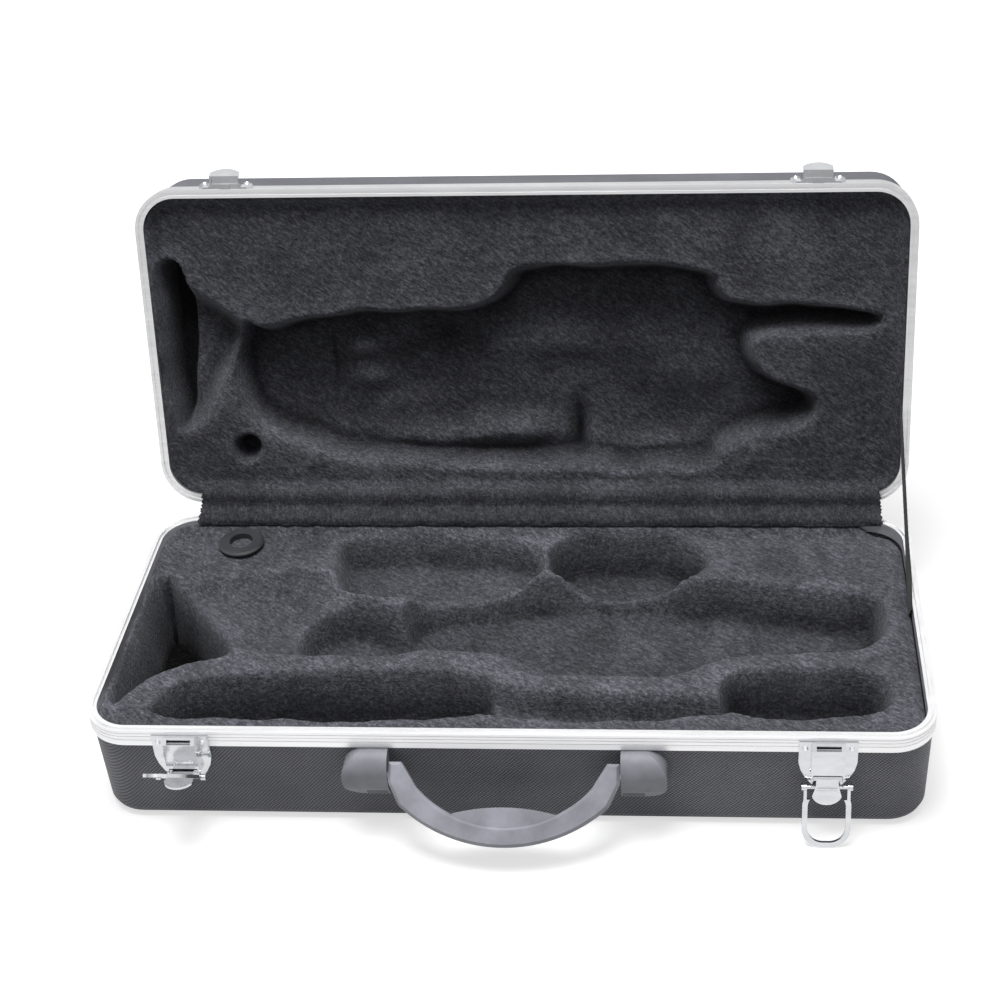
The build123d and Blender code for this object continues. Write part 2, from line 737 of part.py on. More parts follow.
def latch_bail(x):
    """Wire loop with its rod, hanging straight down from the rod."""
    y = rod_y + 0.6
    half = BAIL_WIDTH / 2
    inner = half - BAIL_WIRE_WIDTH
    low = rod_z - BAIL_LENGTH
    outer_flat = Pos(x, (rod_z + low) / 2) * RectangleRounded(BAIL_WIDTH, BAIL_LENGTH, BAIL_END_RADIUS)
    inner_height = BAIL_LENGTH - 2 * BAIL_WIRE_WIDTH
    inner_flat = Pos(x, (rod_z + low) / 2) * RectangleRounded(
        2 * inner, inner_height, BAIL_END_RADIUS - BAIL_WIRE_WIDTH + 0.6
    )
    flat = outer_flat - inner_flat
    plate = extrude(Plane.XZ * flat, BAIL_THICKNESS / 2, both=True)
    plate = Pos(0, y, 0) * plate
    keep_top = rod_z - BAIL_NECK_LENGTH
    plate = plate - box(x - 30, x + 30, y - 9, y + 9, keep_top, rod_z + 9)
    bail = plate
    for side in (-1, 1):
        eye_x = x + side * BAIL_EYE_X
        neck_x = x + side * (half - BAIL_WIRE_WIDTH / 2)
        neck = box(
            neck_x - BAIL_NECK_WIDTH / 2,
            neck_x + BAIL_NECK_WIDTH / 2,
            y - BAIL_THICKNESS / 2,
            y + BAIL_THICKNESS / 2,
            keep_top - 0.5,
            rod_z,
        )
        eye = cylinder_x(
            BAIL_EYE_RADIUS, eye_x - BAIL_EYE_WIDTH / 2, eye_x + BAIL_EYE_WIDTH / 2, y, rod_z
        )
        bail = bail + neck + eye
    return bail + cylinder_x(ROD_RADIUS, x - BAIL_EYE_X, x + BAIL_EYE_X, y, rod_z)


rod_axis_y = rod_y + 0.6
latch_rivets = []
lever_pins = []
for x, name in ((LEFT_LATCH_X, "left"), (RIGHT_LATCH_X, "right")):
    save(latch_plate(x), "latch_plate_" + name)
    lever_axis = Axis((0, lever_y, lever_z), (1, 0, 0))
    rod_axis = Axis((0, rod_axis_y, rod_z), (1, 0, 0))
    lever = latch_lever(x)
    bail = latch_bail(x)
    if name == "left":
        lift = LEFT_LEVER_LIFT
        bail_lift = LEFT_BAIL_LIFT
    else:
        lift = 0.0
        bail_lift = RIGHT_BAIL_LEAN
    bail = bail.rotate(rod_axis, -(bail_lift - lift))
    bail = bail.rotate(lever_axis, -lift)
    lever = lever.rotate(lever_axis, -lift)
    save(lever, "latch_lever_" + name)
    save(bail, "latch_bail_" + name)
    pin_half = BRIDGE_WIDTH / 2 + 0.5
    lever_pins.append(cylinder_x(LEVER_PIN_RADIUS, x - pin_half, x + pin_half, lever_y, lever_z))
    for edge in (-1, 1):
        rx = x + edge * LATCH_RIVET_X
        latch_rivets.append(rivet(rx, plate_front, RIM_HEIGHT + LATCH_RIVET_Z, -1))
save(Compound(children=lever_pins), "lever_pins")
save(Compound(children=base_rivets + latch_rivets), "base_rivets")

# Keepers on the front of the lid trim
keeper_low = lid_rim + KEEPER_LOW
keeper_high = lid_rim + KEEPER_HIGH
keeper_face = front_y - KEEPER_PLATE
wing_face = keeper_face - KEEPER_WING_RISE
hook_half = KEEPER_HOOK_WIDTH / 2


def keeper_wing(x, side):
    """Cut-corner wing pressed out of the back plate."""
    inner = KEEPER_WING_INNER
    outer = KEEPER_WIDTH / 2
    outline = [
        (side * inner, keeper_low),
        (side * (outer - KEEPER_WING_CUT), keeper_low),
        (side * outer, keeper_low + KEEPER_WING_CUT),
        (side * outer, keeper_high - KEEPER_WING_CUT),
        (side * (outer - KEEPER_WING_CUT), keeper_high),
        (side * inner, keeper_high),
    ]
    flat = Pos(x, keeper_face, 0) * (Plane.XZ * polygon(outline))
    return extrude(flat, KEEPER_WING_RISE, dir=(0, -1, 0), taper=KEEPER_WING_TAPER)


def keeper(x):
    """Hook with a shelf, a flared lip and two riveted wings."""
    half = KEEPER_WIDTH / 2
    outline = [
        (-half + KEEPER_WING_CUT, keeper_low),
        (half - KEEPER_WING_CUT, keeper_low),
        (half, keeper_low + KEEPER_WING_CUT),
        (half, keeper_high - KEEPER_WING_CUT),
        (half - KEEPER_WING_CUT, keeper_high),
        (-half + KEEPER_WING_CUT, keeper_high),
        (-half, keeper_high - KEEPER_WING_CUT),
        (-half, keeper_low + KEEPER_WING_CUT),
    ]
    plate = Pos(x, 0, 0) * upright(polygon(outline), keeper_face, front_y)
    shelf_top = keeper_low + KEEPER_SHELF
    profile = [
        (front_y, keeper_low),
        (front_y - KEEPER_REACH, keeper_low),
        (front_y - KEEPER_FLARE, keeper_high),
        (front_y - KEEPER_FLARE + KEEPER_LIP, keeper_high),
        (front_y - KEEPER_REACH + KEEPER_LIP, shelf_top),
        (front_y, shelf_top),
    ]
    hook = Pos(x, 0, 0) * extrude(Plane.YZ * polygon(profile), hook_half, both=True)
    shoulder = lid_rim + KEEPER_LIP_SHOULDER
    sides = Polyline(
        (hook_half, shoulder),
        (hook_half, keeper_low),
        (-hook_half, keeper_low),
        (-hook_half, shoulder),
    )
    crown = ThreePointArc((-hook_half, shoulder), (0, keeper_high), (hook_half, shoulder))
    dome = upright(make_face(sides + crown), front_y - 2 * KEEPER_REACH, front_y)
    hook = hook & (Pos(x, 0, 0) * dome)
    rim = KEEPER_TRAY_RIM
    tray_x = hook_half - rim
    tray_cut = box(
        x - tray_x,
        x + tray_x,
        front_y - KEEPER_REACH + rim,
        keeper_face - 2 * rim,
        keeper_low - 1,
        keeper_low + KEEPER_TRAY_DEPTH,
    )
    tab_half = KEEPER_TAB_WIDTH / 2
    tab_low = lid_rim + KEEPER_TAB_LOW
    tab = box(x - tab_half, x + tab_half, front_y - KEEPER_TAB_REACH, front_y, tab_low, keeper_low)
    wings = keeper_wing(x, -1) + keeper_wing(x, 1)
    return plate + hook - tray_cut + tab + wings


for x, name in ((LEFT_LATCH_X, "left"), (RIGHT_LATCH_X, "right")):
    save(opened(keeper(x)), "keeper_" + name)
    for edge in (-1, 1):
        rx = x + edge * KEEPER_RIVET_X
        lid_rivets.append(opened(rivet(rx, wing_face, lid_rim + KEEPER_RIVET_Z, -1)))
save(Compound(children=lid_rivets), "lid_rivets")

# Handle
pivot_y = front_y - HANDLE_PIVOT_OUT
pivot_z = RIM_HEIGHT + HANDLE_PIVOT_Z
mount_top = RIM_HEIGHT + MOUNT_TOP
mount_bottom = RIM_HEIGHT + MOUNT_BOTTOM


def mount_profile():
    """Side outline of a handle mount: a rounded brow above a slanted chin."""
    brow_y = front_y - MOUNT_TOP_LIP
    crest = (front_y - MOUNT_PROUD, RIM_HEIGHT + MOUNT_CREST)
    brow_mid_y = front_y - MOUNT_PROUD * 0.72
    brow_mid_z = mount_top + (crest[1] - mount_top) * 0.31
    brow = ThreePointArc((brow_y, mount_top), (brow_mid_y, brow_mid_z), crest)
    chin = Polyline(
        crest,
        (front_y - MOUNT_CHIN_PROUD, RIM_HEIGHT + MOUNT_CHIN),
        (front_y - MOUNT_FOOT_PROUD, mount_bottom),
        (front_y + 6.0, mount_bottom),
        (front_y + 6.0, mount_top),
        (brow_y, mount_top),
    )
    return make_face(brow + chin)


def handle_mount(side):
    """Moulded mount with a rounded outer end, a finger patch and a blind pivot bore."""
    x_in = side * MOUNT_INNER
    x_out = side * MOUNT_OUTER
    body = extrude(Plane.YZ * mount_profile(), abs(x_out - x_in), dir=(side, 0, 0))
    body = Pos(x_in, 0, 0) * body
    ends = polygon([(x_in, mount_bottom), (x_out, mount_bottom), (x_out, mount_top), (x_in, mount_top)])
    outer = [v for v in ends.vertices() if abs(v.X - x_out) < 0.01]
    ends = fillet(outer, MOUNT_END_RADIUS)
    body = body & upright(ends, front_y - 2 * MOUNT_PROUD, front_y + 6.0)
    run_y = MOUNT_CHIN_PROUD - MOUNT_FOOT_PROUD
    run_z = MOUNT_CHIN - MOUNT_BOTTOM
    slope = math.degrees(math.atan2(run_y, run_z))
    centre_x = side * (MOUNT_INNER + 1.0 + MOUNT_PATCH_WIDTH / 2)
    for row in range(MOUNT_PATCH_ROWS):
        along = MOUNT_PATCH_STEP * (row + 0.8)
        groove_z = mount_bottom + along * math.cos(math.radians(slope))
        groove_y = front_y - MOUNT_FOOT_PROUD - along * math.sin(math.radians(slope))
        groove = Box(MOUNT_PATCH_WIDTH, 2 * MOUNT_PATCH_DEPTH, MOUNT_PATCH_STEP / 2)
        body = body - Pos(centre_x, groove_y, groove_z) * Rot(slope, 0, 0) * groove
    hole_in = side * (MOUNT_INNER - 1)
    hole_end = side * (MOUNT_INNER + HANDLE_PIN_LENGTH)
    radius = HANDLE_PIN_RADIUS + HANDLE_PIN_CLEARANCE
    hole = cylinder_x(radius, min(hole_in, hole_end), max(hole_in, hole_end), pivot_y, pivot_z)
    return body - solid_base - hole


save(handle_mount(-1), "handle_mount_left")
save(handle_mount(1), "handle_mount_right")

# Grip drawn flat, hanging straight down: x across, depths measured down from the pivot
grip_half = MOUNT_INNER - GRIP_SIDE_GAP
grip_top = pivot_z + GRIP_ABOVE_PIVOT
outer_side = (GRIP_OUTER_X, pivot_z - GRIP_OUTER_DROP)
inner_side = (GRIP_INNER_X, pivot_z - GRIP_INNER_DROP)
outer_run = ThreePointArc(
    (-outer_side[0], outer_side[1]),
    (0, pivot_z - GRIP_REACH),
    outer_side,
)
inner_run = ThreePointArc(
    (-inner_side[0], inner_side[1]),
    (0, pivot_z - GRIP_REACH + GRIP_BAND),
    inner_side,
)


def grip_end(side):
    """Short straight run of the grip outline beside one mount."""
    return Polyline(
        (side * outer_side[0], outer_side[1]),
        (side * grip_half, pivot_z - GRIP_SHOULDER_DROP),
        (side * grip_half, grip_top),
        (side * GRIP_END_INNER_X, grip_top),
        (side * inner_side[0], inner_side[1]),
    )


half_grip = GRIP_THICKNESS / 2
band = make_face(outer_run + grip_end(1) + inner_run + grip_end(-1))
bends = [v for v in band.vertices() if abs(abs(v.X) - GRIP_OUTER_X) < 0.1 or abs(abs(v.X) - GRIP_INNER_X) < 0.1]
band = fillet(bends, GRIP_BEND_RADIUS)
grip = upright(band, pivot_y - half_grip, pivot_y + half_grip)
band_edges = [e for e in grip.edges() if abs(abs(e.center().Y - pivot_y) - half_grip) < 0.01]
grip = chamfer(band_edges, GRIP_EDGE_CHAMFER)
lens_tip = pivot_z - GRIP_LENS_DROP
lens_top = pivot_z - GRIP_LENS_TOP_DROP
lens_bottom = pivot_z - GRIP_LENS_BOTTOM_DROP
lens_half = GRIP_LENS_LENGTH / 2
lens_upper = ThreePointArc((-lens_half, lens_tip), (0.0, lens_top), (lens_half, lens_tip))
lens_lower = ThreePointArc((lens_half, lens_tip), (0.0, lens_bottom), (-lens_half, lens_tip))
lens = upright(make_face(lens_upper + lens_lower), pivot_y - GRIP_LENS_HIGH, pivot_y - GRIP_LENS_LOW)
lens_face_y = pivot_y - GRIP_LENS_LOW
lens_edges = [e for e in lens.edges() if abs(e.center().Y - lens_face_y) < 0.01]
lens = chamfer(lens_edges, GRIP_LENS_CHAMFER)
grip = grip + lens
for side in (-1, 1):
    start = side * (grip_half - 4)
    stop = side * (MOUNT_INNER + HANDLE_PIN_LENGTH - 0.6)
    stub = cylinder_x(HANDLE_PIN_RADIUS, min(start, stop), max(start, stop), pivot_y, pivot_z)
    grip = grip + stub
grip = grip.rotate(Axis((0, pivot_y, pivot_z), (1, 0, 0)), -HANDLE_REST_ANGLE)
save(grip, "handle_grip")

# Stay: flat woven tape drawn tight from the base to the lid at the right side
tape_x = CASE_WIDTH / 2 - VALANCE_WIDTH - STAY_SIDE_GAP - STAY_THICKNESS
low_end = (STAY_BASE_Y, liner_top)
lid_end_y = back_y - STAY_LID_V - hinge_y
lid_end_z = lid_liner_face - hinge_z
turn = math.radians(-LID_OPEN_ANGLE)
high_end = (
    hinge_y + lid_end_y * math.cos(turn) - lid_end_z * math.sin(turn),
    hinge_z + lid_end_y * math.sin(turn) + lid_end_z * math.cos(turn),
)
run_y = high_end[0] - low_end[0]
run_z = high_end[1] - low_end[1]
run = math.hypot(run_y, run_z)
tape = box(tape_x, tape_x + STAY_THICKNESS, -STAY_TRIM, run + STAY_TRIM, -STAY_WIDTH / 2, STAY_WIDTH / 2)
tape = Pos(0, low_end[0], low_end[1]) * Rot(math.degrees(math.atan2(run_z, run_y)), 0, 0) * tape
below = box(0, right_end, front_y, back_y, 0, liner_top)
beyond = opened(box(0, right_end, front_y, back_y, lid_liner_face - STAY_LID_GAP, lid_top))
stay_strap = tape - below - beyond
save(stay_strap, "stay_strap")

# Soft strip that covers the hinges from the base lining to the lid lining
half_strip = STRIP_THICKNESS / 2
strip_in = back_y - VALANCE_WIDTH - half_strip - STRIP_GAP
strip_over = RIM_HEIGHT + TONGUE_HEIGHT + half_strip + STRIP_GAP
strip_under = lid_rim - half_strip - STRIP_GAP


def turned(y, z):
    """Closed-lid point turned to where the open lid has it."""
    dy = y - hinge_y
    dz = z - hinge_z
    return (
        hinge_y + dy * math.cos(turn) - dz * math.sin(turn),
        hinge_z + dy * math.sin(turn) + dz * math.cos(turn),
    )


strip_path = [
    (strip_in, liner_top + STRIP_GAP + half_strip),
    (strip_in, strip_over),
    (back_y + 1.0, strip_over),
    (back_y + 6.0, strip_over + 0.4),
    turned(back_y + 1.0, strip_under),
    turned(strip_in, strip_under),
    turned(strip_in, lid_liner_face - STRIP_GAP - half_strip),
]
path_line = make_face(offset(Polyline(*strip_path), amount=half_strip, side=Side.BOTH))
hinge_strip = extrude(Plane.YZ * path_line, STRIP_HALF_WIDTH, both=True)
save(hinge_strip, "hinge_strip")
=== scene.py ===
import math

import bpy
import numpy as np
from bpy.props import FloatProperty, FloatVectorProperty, PointerProperty
from mathutils import Matrix, Vector


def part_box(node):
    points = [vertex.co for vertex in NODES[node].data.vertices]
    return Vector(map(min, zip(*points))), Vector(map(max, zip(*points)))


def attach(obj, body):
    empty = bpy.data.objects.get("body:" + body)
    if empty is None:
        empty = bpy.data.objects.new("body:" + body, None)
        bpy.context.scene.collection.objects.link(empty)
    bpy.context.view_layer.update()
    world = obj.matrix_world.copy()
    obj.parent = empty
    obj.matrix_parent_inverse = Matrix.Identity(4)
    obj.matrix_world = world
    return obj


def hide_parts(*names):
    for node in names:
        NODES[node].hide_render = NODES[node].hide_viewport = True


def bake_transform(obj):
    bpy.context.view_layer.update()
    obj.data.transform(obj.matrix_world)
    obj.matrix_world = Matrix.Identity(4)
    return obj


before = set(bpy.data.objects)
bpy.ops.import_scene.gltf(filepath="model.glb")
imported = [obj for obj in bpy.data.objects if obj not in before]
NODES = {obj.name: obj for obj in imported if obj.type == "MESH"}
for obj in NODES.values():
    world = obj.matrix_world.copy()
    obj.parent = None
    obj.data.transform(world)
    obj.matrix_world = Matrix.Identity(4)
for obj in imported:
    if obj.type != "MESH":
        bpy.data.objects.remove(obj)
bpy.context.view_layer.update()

bl_info = {
    "name": "Trumpet case",
    "version": (1, 0, 0),
    "blender": (4, 5, 0),
    "location": "3D View > Sidebar > Case",
    "description": "Dresses the trumpet case: plush liners, trim, latches, handle and stage",
    "category": "Object",
}

BASE_BLOCKS = [node for node in NODES if node.startswith("base_liner_")]
LID_BLOCKS = [node for node in NODES if node.startswith("lid_liner_")]

MM = 1000.0  # millimetres in a metre

# Places shared with the CAD model, in millimetres
WIDTH = 550.0
DEPTH = 235.0
RIM = 79.0  # top of the base's trim
LID_RIM = 79.4  # edge of the closed lid's trim
TRIM = 6.0  # wall and trim together
CORNER = 30.0  # outer radius of the case's corners
HINGE_Y = 124.5
HINGE_Z = 78.0
OPEN = math.radians(-104.0)  # from the closed lid to the lid as shown

# Grid of both linings, in millimetres
LINER_GAP = 0.3  # between a lining and its trim
LINER_SKIRT = 10.0  # how far a lining's sides go down

# Painted shade of the recesses: how much darker the colour is painted in a deep place and in a
# hollow place
DEEP_PAINTED_SHADE = 0.75
DEEP_AT = 50.0  # depth in millimetres that counts as deep
DEEP_MOST = 1.1
HOLLOW_PAINTED_SHADE = 0.55
HOLLOW_AT = 7.0  # millimetres under the surface around it
# A ridge counts as hollow below zero, which paints it lighter: a painted highlight, limited by
# this
HOLLOW_LEAST = -0.55  # a ridge counts as hollow by no less than this
HOLLOW_CELLS = 5  # grid cells that count as around it

NOISE_TABLE = 256
NOISE_START = 1000.0  # keeps every place in the table positive


# Helpers
def opened(points):
    """Closed-lid points, as an array in millimetres, turned to the open lid."""
    out = points.copy()
    y = points[..., 1] - HINGE_Y
    z = points[..., 2] - HINGE_Z
    out[..., 1] = HINGE_Y + y * math.cos(OPEN) - z * math.sin(OPEN)
    out[..., 2] = HINGE_Z + y * math.sin(OPEN) + z * math.cos(OPEN)
    return out


def turned_point(y, z):
    """One closed-lid point turned to the open lid, as a pair."""
    point = opened(np.array([[0.0, y, z]]))[0]
    return float(point[1]), float(point[2])


def grid_object(name, points, wrap=False):
    """Mesh object from a grid of points in millimetres, closed across if wrapped."""
    rows, columns = points.shape[:2]
    index = np.arange(rows * columns).reshape(rows, columns)
    if wrap:
        index = np.hstack([index, index[:, :1]])
    corners = [index[:-1, :-1], index[1:, :-1], index[1:, 1:], index[:-1, 1:]]
    quads = np.stack(corners, -1).reshape(-1, 4)
    mesh = bpy.data.meshes.new(name)
    mesh.from_pydata((points.reshape(-1, 3) / MM).tolist(), [], quads.tolist())
    mesh.update()
    mesh.polygons.foreach_set("use_smooth", [True] * len(mesh.polygons))
    obj = bpy.data.objects.new(name, mesh)
    bpy.context.scene.collection.objects.link(obj)
    return obj


def value_noise(x, y, scale, seed):
    """Smooth seeded noise between -1 and 1 over arrays of coordinates."""
    rng = np.random.default_rng(seed)
    table = rng.uniform(-1.0, 1.0, (NOISE_TABLE, NOISE_TABLE))
    u = x / scale + NOISE_START
    v = y / scale + NOISE_START
    iu = np.floor(u).astype(int)
    iv = np.floor(v).astype(int)
    fu = u - iu
    fv = v - iv
    fu = fu * fu * (3 - 2 * fu)
    fv = fv * fv * (3 - 2 * fv)
    a = table[iu % NOISE_TABLE, iv % NOISE_TABLE]
    b = table[(iu + 1) % NOISE_TABLE, iv % NOISE_TABLE]
    c = table[iu % NOISE_TABLE, (iv + 1) % NOISE_TABLE]
    d = table[(iu + 1) % NOISE_TABLE, (iv + 1) % NOISE_TABLE]
    return (a * (1 - fu) + b * fu) * (1 - fv) + (c * (1 - fu) + d * fu) * fv


def cut_corners(points, closed, passes=2):
    """Line with its corners cut smooth, as an array. An open line keeps its ends."""
    line = np.array(points, float)
    for _ in range(passes):
        here = line if closed else line[:-1]
        following = np.roll(line, -1, axis=0) if closed else line[1:]
        near = here * 0.75 + following * 0.25
        far = here * 0.25 + following * 0.75
        middle = np.stack([near, far], 1).reshape(-1, 2)
        line = middle if closed else np.vstack([line[:1], middle, line[-1:]])
    return line


def inside_distance(x, y, outline):
    """Distance to a recess's rounded outline, positive inside it."""
    ring = cut_corners(outline, closed=True)
    following = np.roll(ring, -1, axis=0)
    best = np.full(x.shape, 1e9)
    inside = np.zeros(x.shape, bool)
    for (ax, ay), (bx, by) in zip(ring, following):
        ex, ey = bx - ax, by - ay
        length = ex * ex + ey * ey + 1e-9
        t = np.clip(((x - ax) * ex + (y - ay) * ey) / length, 0, 1)
        gap = (x - ax - t * ex) ** 2 + (y - ay - t * ey) ** 2
        best = np.minimum(best, gap)
        if ay != by:
            crosses = (ay > y) != (by > y)
            inside ^= crosses & (x < (bx - ax) * (y - ay) / (by - ay) + ax)
    best = np.sqrt(best)
    return np.where(inside, best, -best)


def soft_min(a, b, blend):
    """Smooth minimum of two arrays."""
    h = np.clip(0.5 + 0.5 * (b - a) / blend, 0, 1)
    return b * (1 - h) + a * h - blend * h * (1 - h)


def smooth(value):
    """Smooth step of an array already scaled to 0..1."""
    t = np.clip(value, 0, 1)
    return t * t * (3 - 2 * t)


def blurred(field, cells):
    """Field smoothed over a number of grid cells both ways."""
    reach = np.arange(-3 * cells, 3 * cells + 1)
    weight = np.exp(-0.5 * (reach / cells) ** 2)
    weight /= weight.sum()
    out = np.pad(field, 3 * cells, mode="edge")
    out = np.apply_along_axis(np.convolve, 0, out, weight, mode="valid")
    return np.apply_along_axis(np.convolve, 1, out, weight, mode="valid")


def mark_painted_shade(obj, depth):
    """Stores, from how deep and how hollow each point of a lining lies, the painted shade that
    darkens its pile and the painted highlight on its ridges.
    """
    around = blurred(depth, HOLLOW_CELLS)
    hollow = np.clip((depth - around) / HOLLOW_AT, HOLLOW_LEAST, 1.0)
    shade = DEEP_PAINTED_SHADE * np.clip(depth / DEEP_AT, 0, DEEP_MOST) ** 3 + HOLLOW_PAINTED_SHADE * hollow
    shade = np.pad(shade, 1, mode="edge")
    # The attribute recess holds painted shade: deep and hollow places darker, ridges lighter
    attribute = obj.data.attributes.new("recess", "FLOAT", "POINT")
    attribute.data.foreach_set("value", shade.reshape(-1).astype(np.float32))


def liner_grid(step):
    """Even grid over a lining's rounded outline, with its distance from the edge."""
    half_w = WIDTH / 2 - TRIM - LINER_GAP
    half_d = DEPTH / 2 - TRIM - LINER_GAP
    nu = int(2 * half_w / step)
    nv = int(2 * half_d / step)
    u, v = np.meshgrid(np.linspace(-1, 1, nu + 1), np.linspace(-1, 1, nv + 1), indexing="ij")
    x = u * half_w
    y = v * half_d
    radius = CORNER - TRIM
    over_x = np.abs(x) - (half_w - radius)
    over_y = np.abs(y) - (half_d - radius)
    corner = (over_x > 0) & (over_y > 0)
    reach = np.hypot(over_x, over_y)
    square = np.maximum(over_x, over_y)
    scale = np.where(corner & (reach > 1e-6), square / np.maximum(reach, 1e-6), 1.0)
    x = np.where(corner, np.sign(x) * (half_w - radius + over_x * scale), x)
    y = np.where(corner, np.sign(y) * (half_d - radius + over_y * scale), y)
    from_centre = np.hypot(np.abs(x) - (half_w - radius), np.abs(y) - (half_d - radius))
    straight = np.minimum(half_w - np.abs(x), half_d - np.abs(y))
    edge = np.where(corner, radius - from_centre, straight)
    return x, y, edge


def add_skirt(points):
    """Closes a lining's edge with a ring of points dropped down its sides."""
    padded = np.pad(points, ((1, 1), (1, 1), (0, 0)), mode="edge")
    padded[0, :, 2] -= LINER_SKIRT
    padded[-1, :, 2] -= LINER_SKIRT
    padded[1:-1, 0, 2] -= LINER_SKIRT
    padded[1:-1, -1, 2] -= LINER_SKIRT
    return padded


# Materials
class Shader:
    """Adds and links the nodes of one material."""

    def __init__(self, name):
        self.material = bpy.data.materials.new(name)
        self.material.use_nodes = True
        self.tree = self.material.node_tree
        self.surface = self.tree.nodes["Principled BSDF"]

    def node(self, kind, **settings):
        added = self.tree.nodes.new(kind)
        for key, value in settings.items():
            setattr(added, key, value)
        return added

    def link(self, source, target):
        self.tree.links.new(source, target)

    def value(self, name, value):
        self.surface.inputs[name].default_value = value

    def feed(self, name, source):
        """Links an output to one input of the surface."""
        self.link(source, self.surface.inputs[name])

    def math(self, operation, first, second=None):
        """Sum, product or the like of outputs and plain numbers."""
        added = self.node("ShaderNodeMath", operation=operation)
        for socket, value in zip(added.inputs, (first, second)):
            if value is None:
                continue
            if isinstance(value, (int, float)):
                socket.default_value = value
            else:
                self.link(value, socket)
        return added.outputs[0]

    def mapped(self, coords, **settings):
        """Coordinates turned or stretched, as the named inputs of a mapping say."""
        mapping = self.node("ShaderNodeMapping")
        for name, value in settings.items():
            mapping.inputs[name].default_value = value
        self.link(coords, mapping.inputs["Vector"])
        return mapping.outputs["Vector"]

    def split(self, vector):
        """The three parts of a vector."""
        added = self.node("ShaderNodeSeparateXYZ")
        self.link(vector, added.inputs[0])
        return added.outputs

    def noise(self, scale, detail=3.0, rough=0.5, stretch=None, distortion=0.0, turn=None):
        """Noise on the piece's own coordinates, turned first and then stretched."""
        coords = self.node("ShaderNodeTexCoord").outputs["Object"]
        if turn:
            coords = self.mapped(coords, Rotation=turn)
        if stretch:
            coords = self.mapped(coords, Scale=stretch)
        added = self.node("ShaderNodeTexNoise")
        added.inputs["Scale"].default_value = scale
        added.inputs["Detail"].default_value = detail
        added.inputs["Roughness"].default_value = rough
        added.inputs["Distortion"].default_value = distortion
        self.link(coords, added.inputs["Vector"])
        return added.outputs["Fac"]

    def ramp(self, source, stops):
        """Colour that runs through the stops, each a place and a colour."""
        added = self.node("ShaderNodeValToRGB")
        elements = added.color_ramp.elements
        while len(elements) < len(stops):
            elements.new(0.5)
        for element, (place, colour) in zip(elements, stops):
            element.position = place
            element.color = (*colour, 1.0)
        self.link(source, added.inputs["Fac"])
        return added.outputs["Color"]

    def spread(self, source, low, high):
        """An output that runs from 0 to 1, brought between two values."""
        added = self.node("ShaderNodeMapRange")
        added.inputs["To Min"].default_value = low
        added.inputs["To Max"].default_value = high
        self.link(source, added.inputs["Value"])
        return added.outputs[0]

    def bump(self, height, strength, distance, before=None):
        """Normal raised by a height, on top of one made before."""
        added = self.node("ShaderNodeBump")
        added.inputs["Strength"].default_value = strength
        added.inputs["Distance"].default_value = distance
        self.link(height, added.inputs["Height"])
        if before is not None:
            self.link(before, added.inputs["Normal"])
        return added.outputs["Normal"]


COOL = 0.18  # how far plush and shells lean to blue
PLUSH_SHEEN = (0.55, 0.56, 0.60, 1.0)

# Emboss of the shells
FLAT_FACING = 0.75  # a face that looks up or down more than this is flat
DOT_SLANT = 0.18  # sideways shift of the dots for each step up
ROW_TURNS = 1.08  # rows of dots to each pitch of the dots

# Weave of the stay tape, which rises at 30 degrees to the tape's cross line
TAPE_COS = 0.866
TAPE_SIN = 0.5
WARP_TURNS = 4200.0  # radians in a metre one way
WEFT_TURNS = 5200.0  # and the other way


def grey(level, blue=0.0):
    """Linear colour from an sRGB level of 0..255 with a little blue."""
    linear = (level / 255.0) ** 2.2
    return (linear, linear * (1 + blue * 0.1), linear * (1 + blue))


def plush_material(name, level, turn, recess_painted_shade):
    """Short dense pile with a brushed diagonal grain, with painted shade that darkens it down in
    the recesses.
    """
    s = Shader(name)
    patches = s.noise(24.0, detail=4.0, rough=0.6, distortion=0.5)
    brushed = s.noise(420.0, detail=3.0, rough=0.7, stretch=(0.42, 1.0, 1.0), turn=turn)
    tufts = s.noise(760.0, detail=3.0, rough=0.75, stretch=(0.6, 1.0, 1.0), turn=turn)
    mix = s.math("ADD", s.math("MULTIPLY", patches, 0.20), s.math("MULTIPLY", brushed, 0.38))
    mix = s.math("ADD", mix, s.math("MULTIPLY", tufts, 0.42))
    dark, light = grey(level * 0.45, COOL), grey(level * 1.6, COOL)
    colour = s.ramp(mix, [(0.34, dark), (0.50, grey(level, COOL)), (0.66, light)])
    # Painted shade: the recess attribute darkens the colour in deep and hollow places and lightens
    # it on ridges
    depth = s.node("ShaderNodeAttribute", attribute_name="recess").outputs["Fac"]
    shade = s.math("SUBTRACT", 1.0, s.math("MULTIPLY", depth, recess_painted_shade))
    painted_shade_dim = s.node("ShaderNodeVectorMath", operation="SCALE")
    s.link(colour, painted_shade_dim.inputs[0])
    s.link(shade, painted_shade_dim.inputs["Scale"])
    s.feed("Base Color", painted_shade_dim.outputs[0])
    normal = s.bump(brushed, strength=0.8, distance=0.0012)
    s.feed("Normal", s.bump(tufts, strength=0.9, distance=0.0008, before=normal))
    s.value("Roughness", 0.95)
    s.value("Specular IOR Level", 0.10)
    s.value("Sheen Weight", 0.22)
    s.value("Sheen Roughness", 0.40)
    s.value("Sheen Tint", PLUSH_SHEEN)
    return s.material


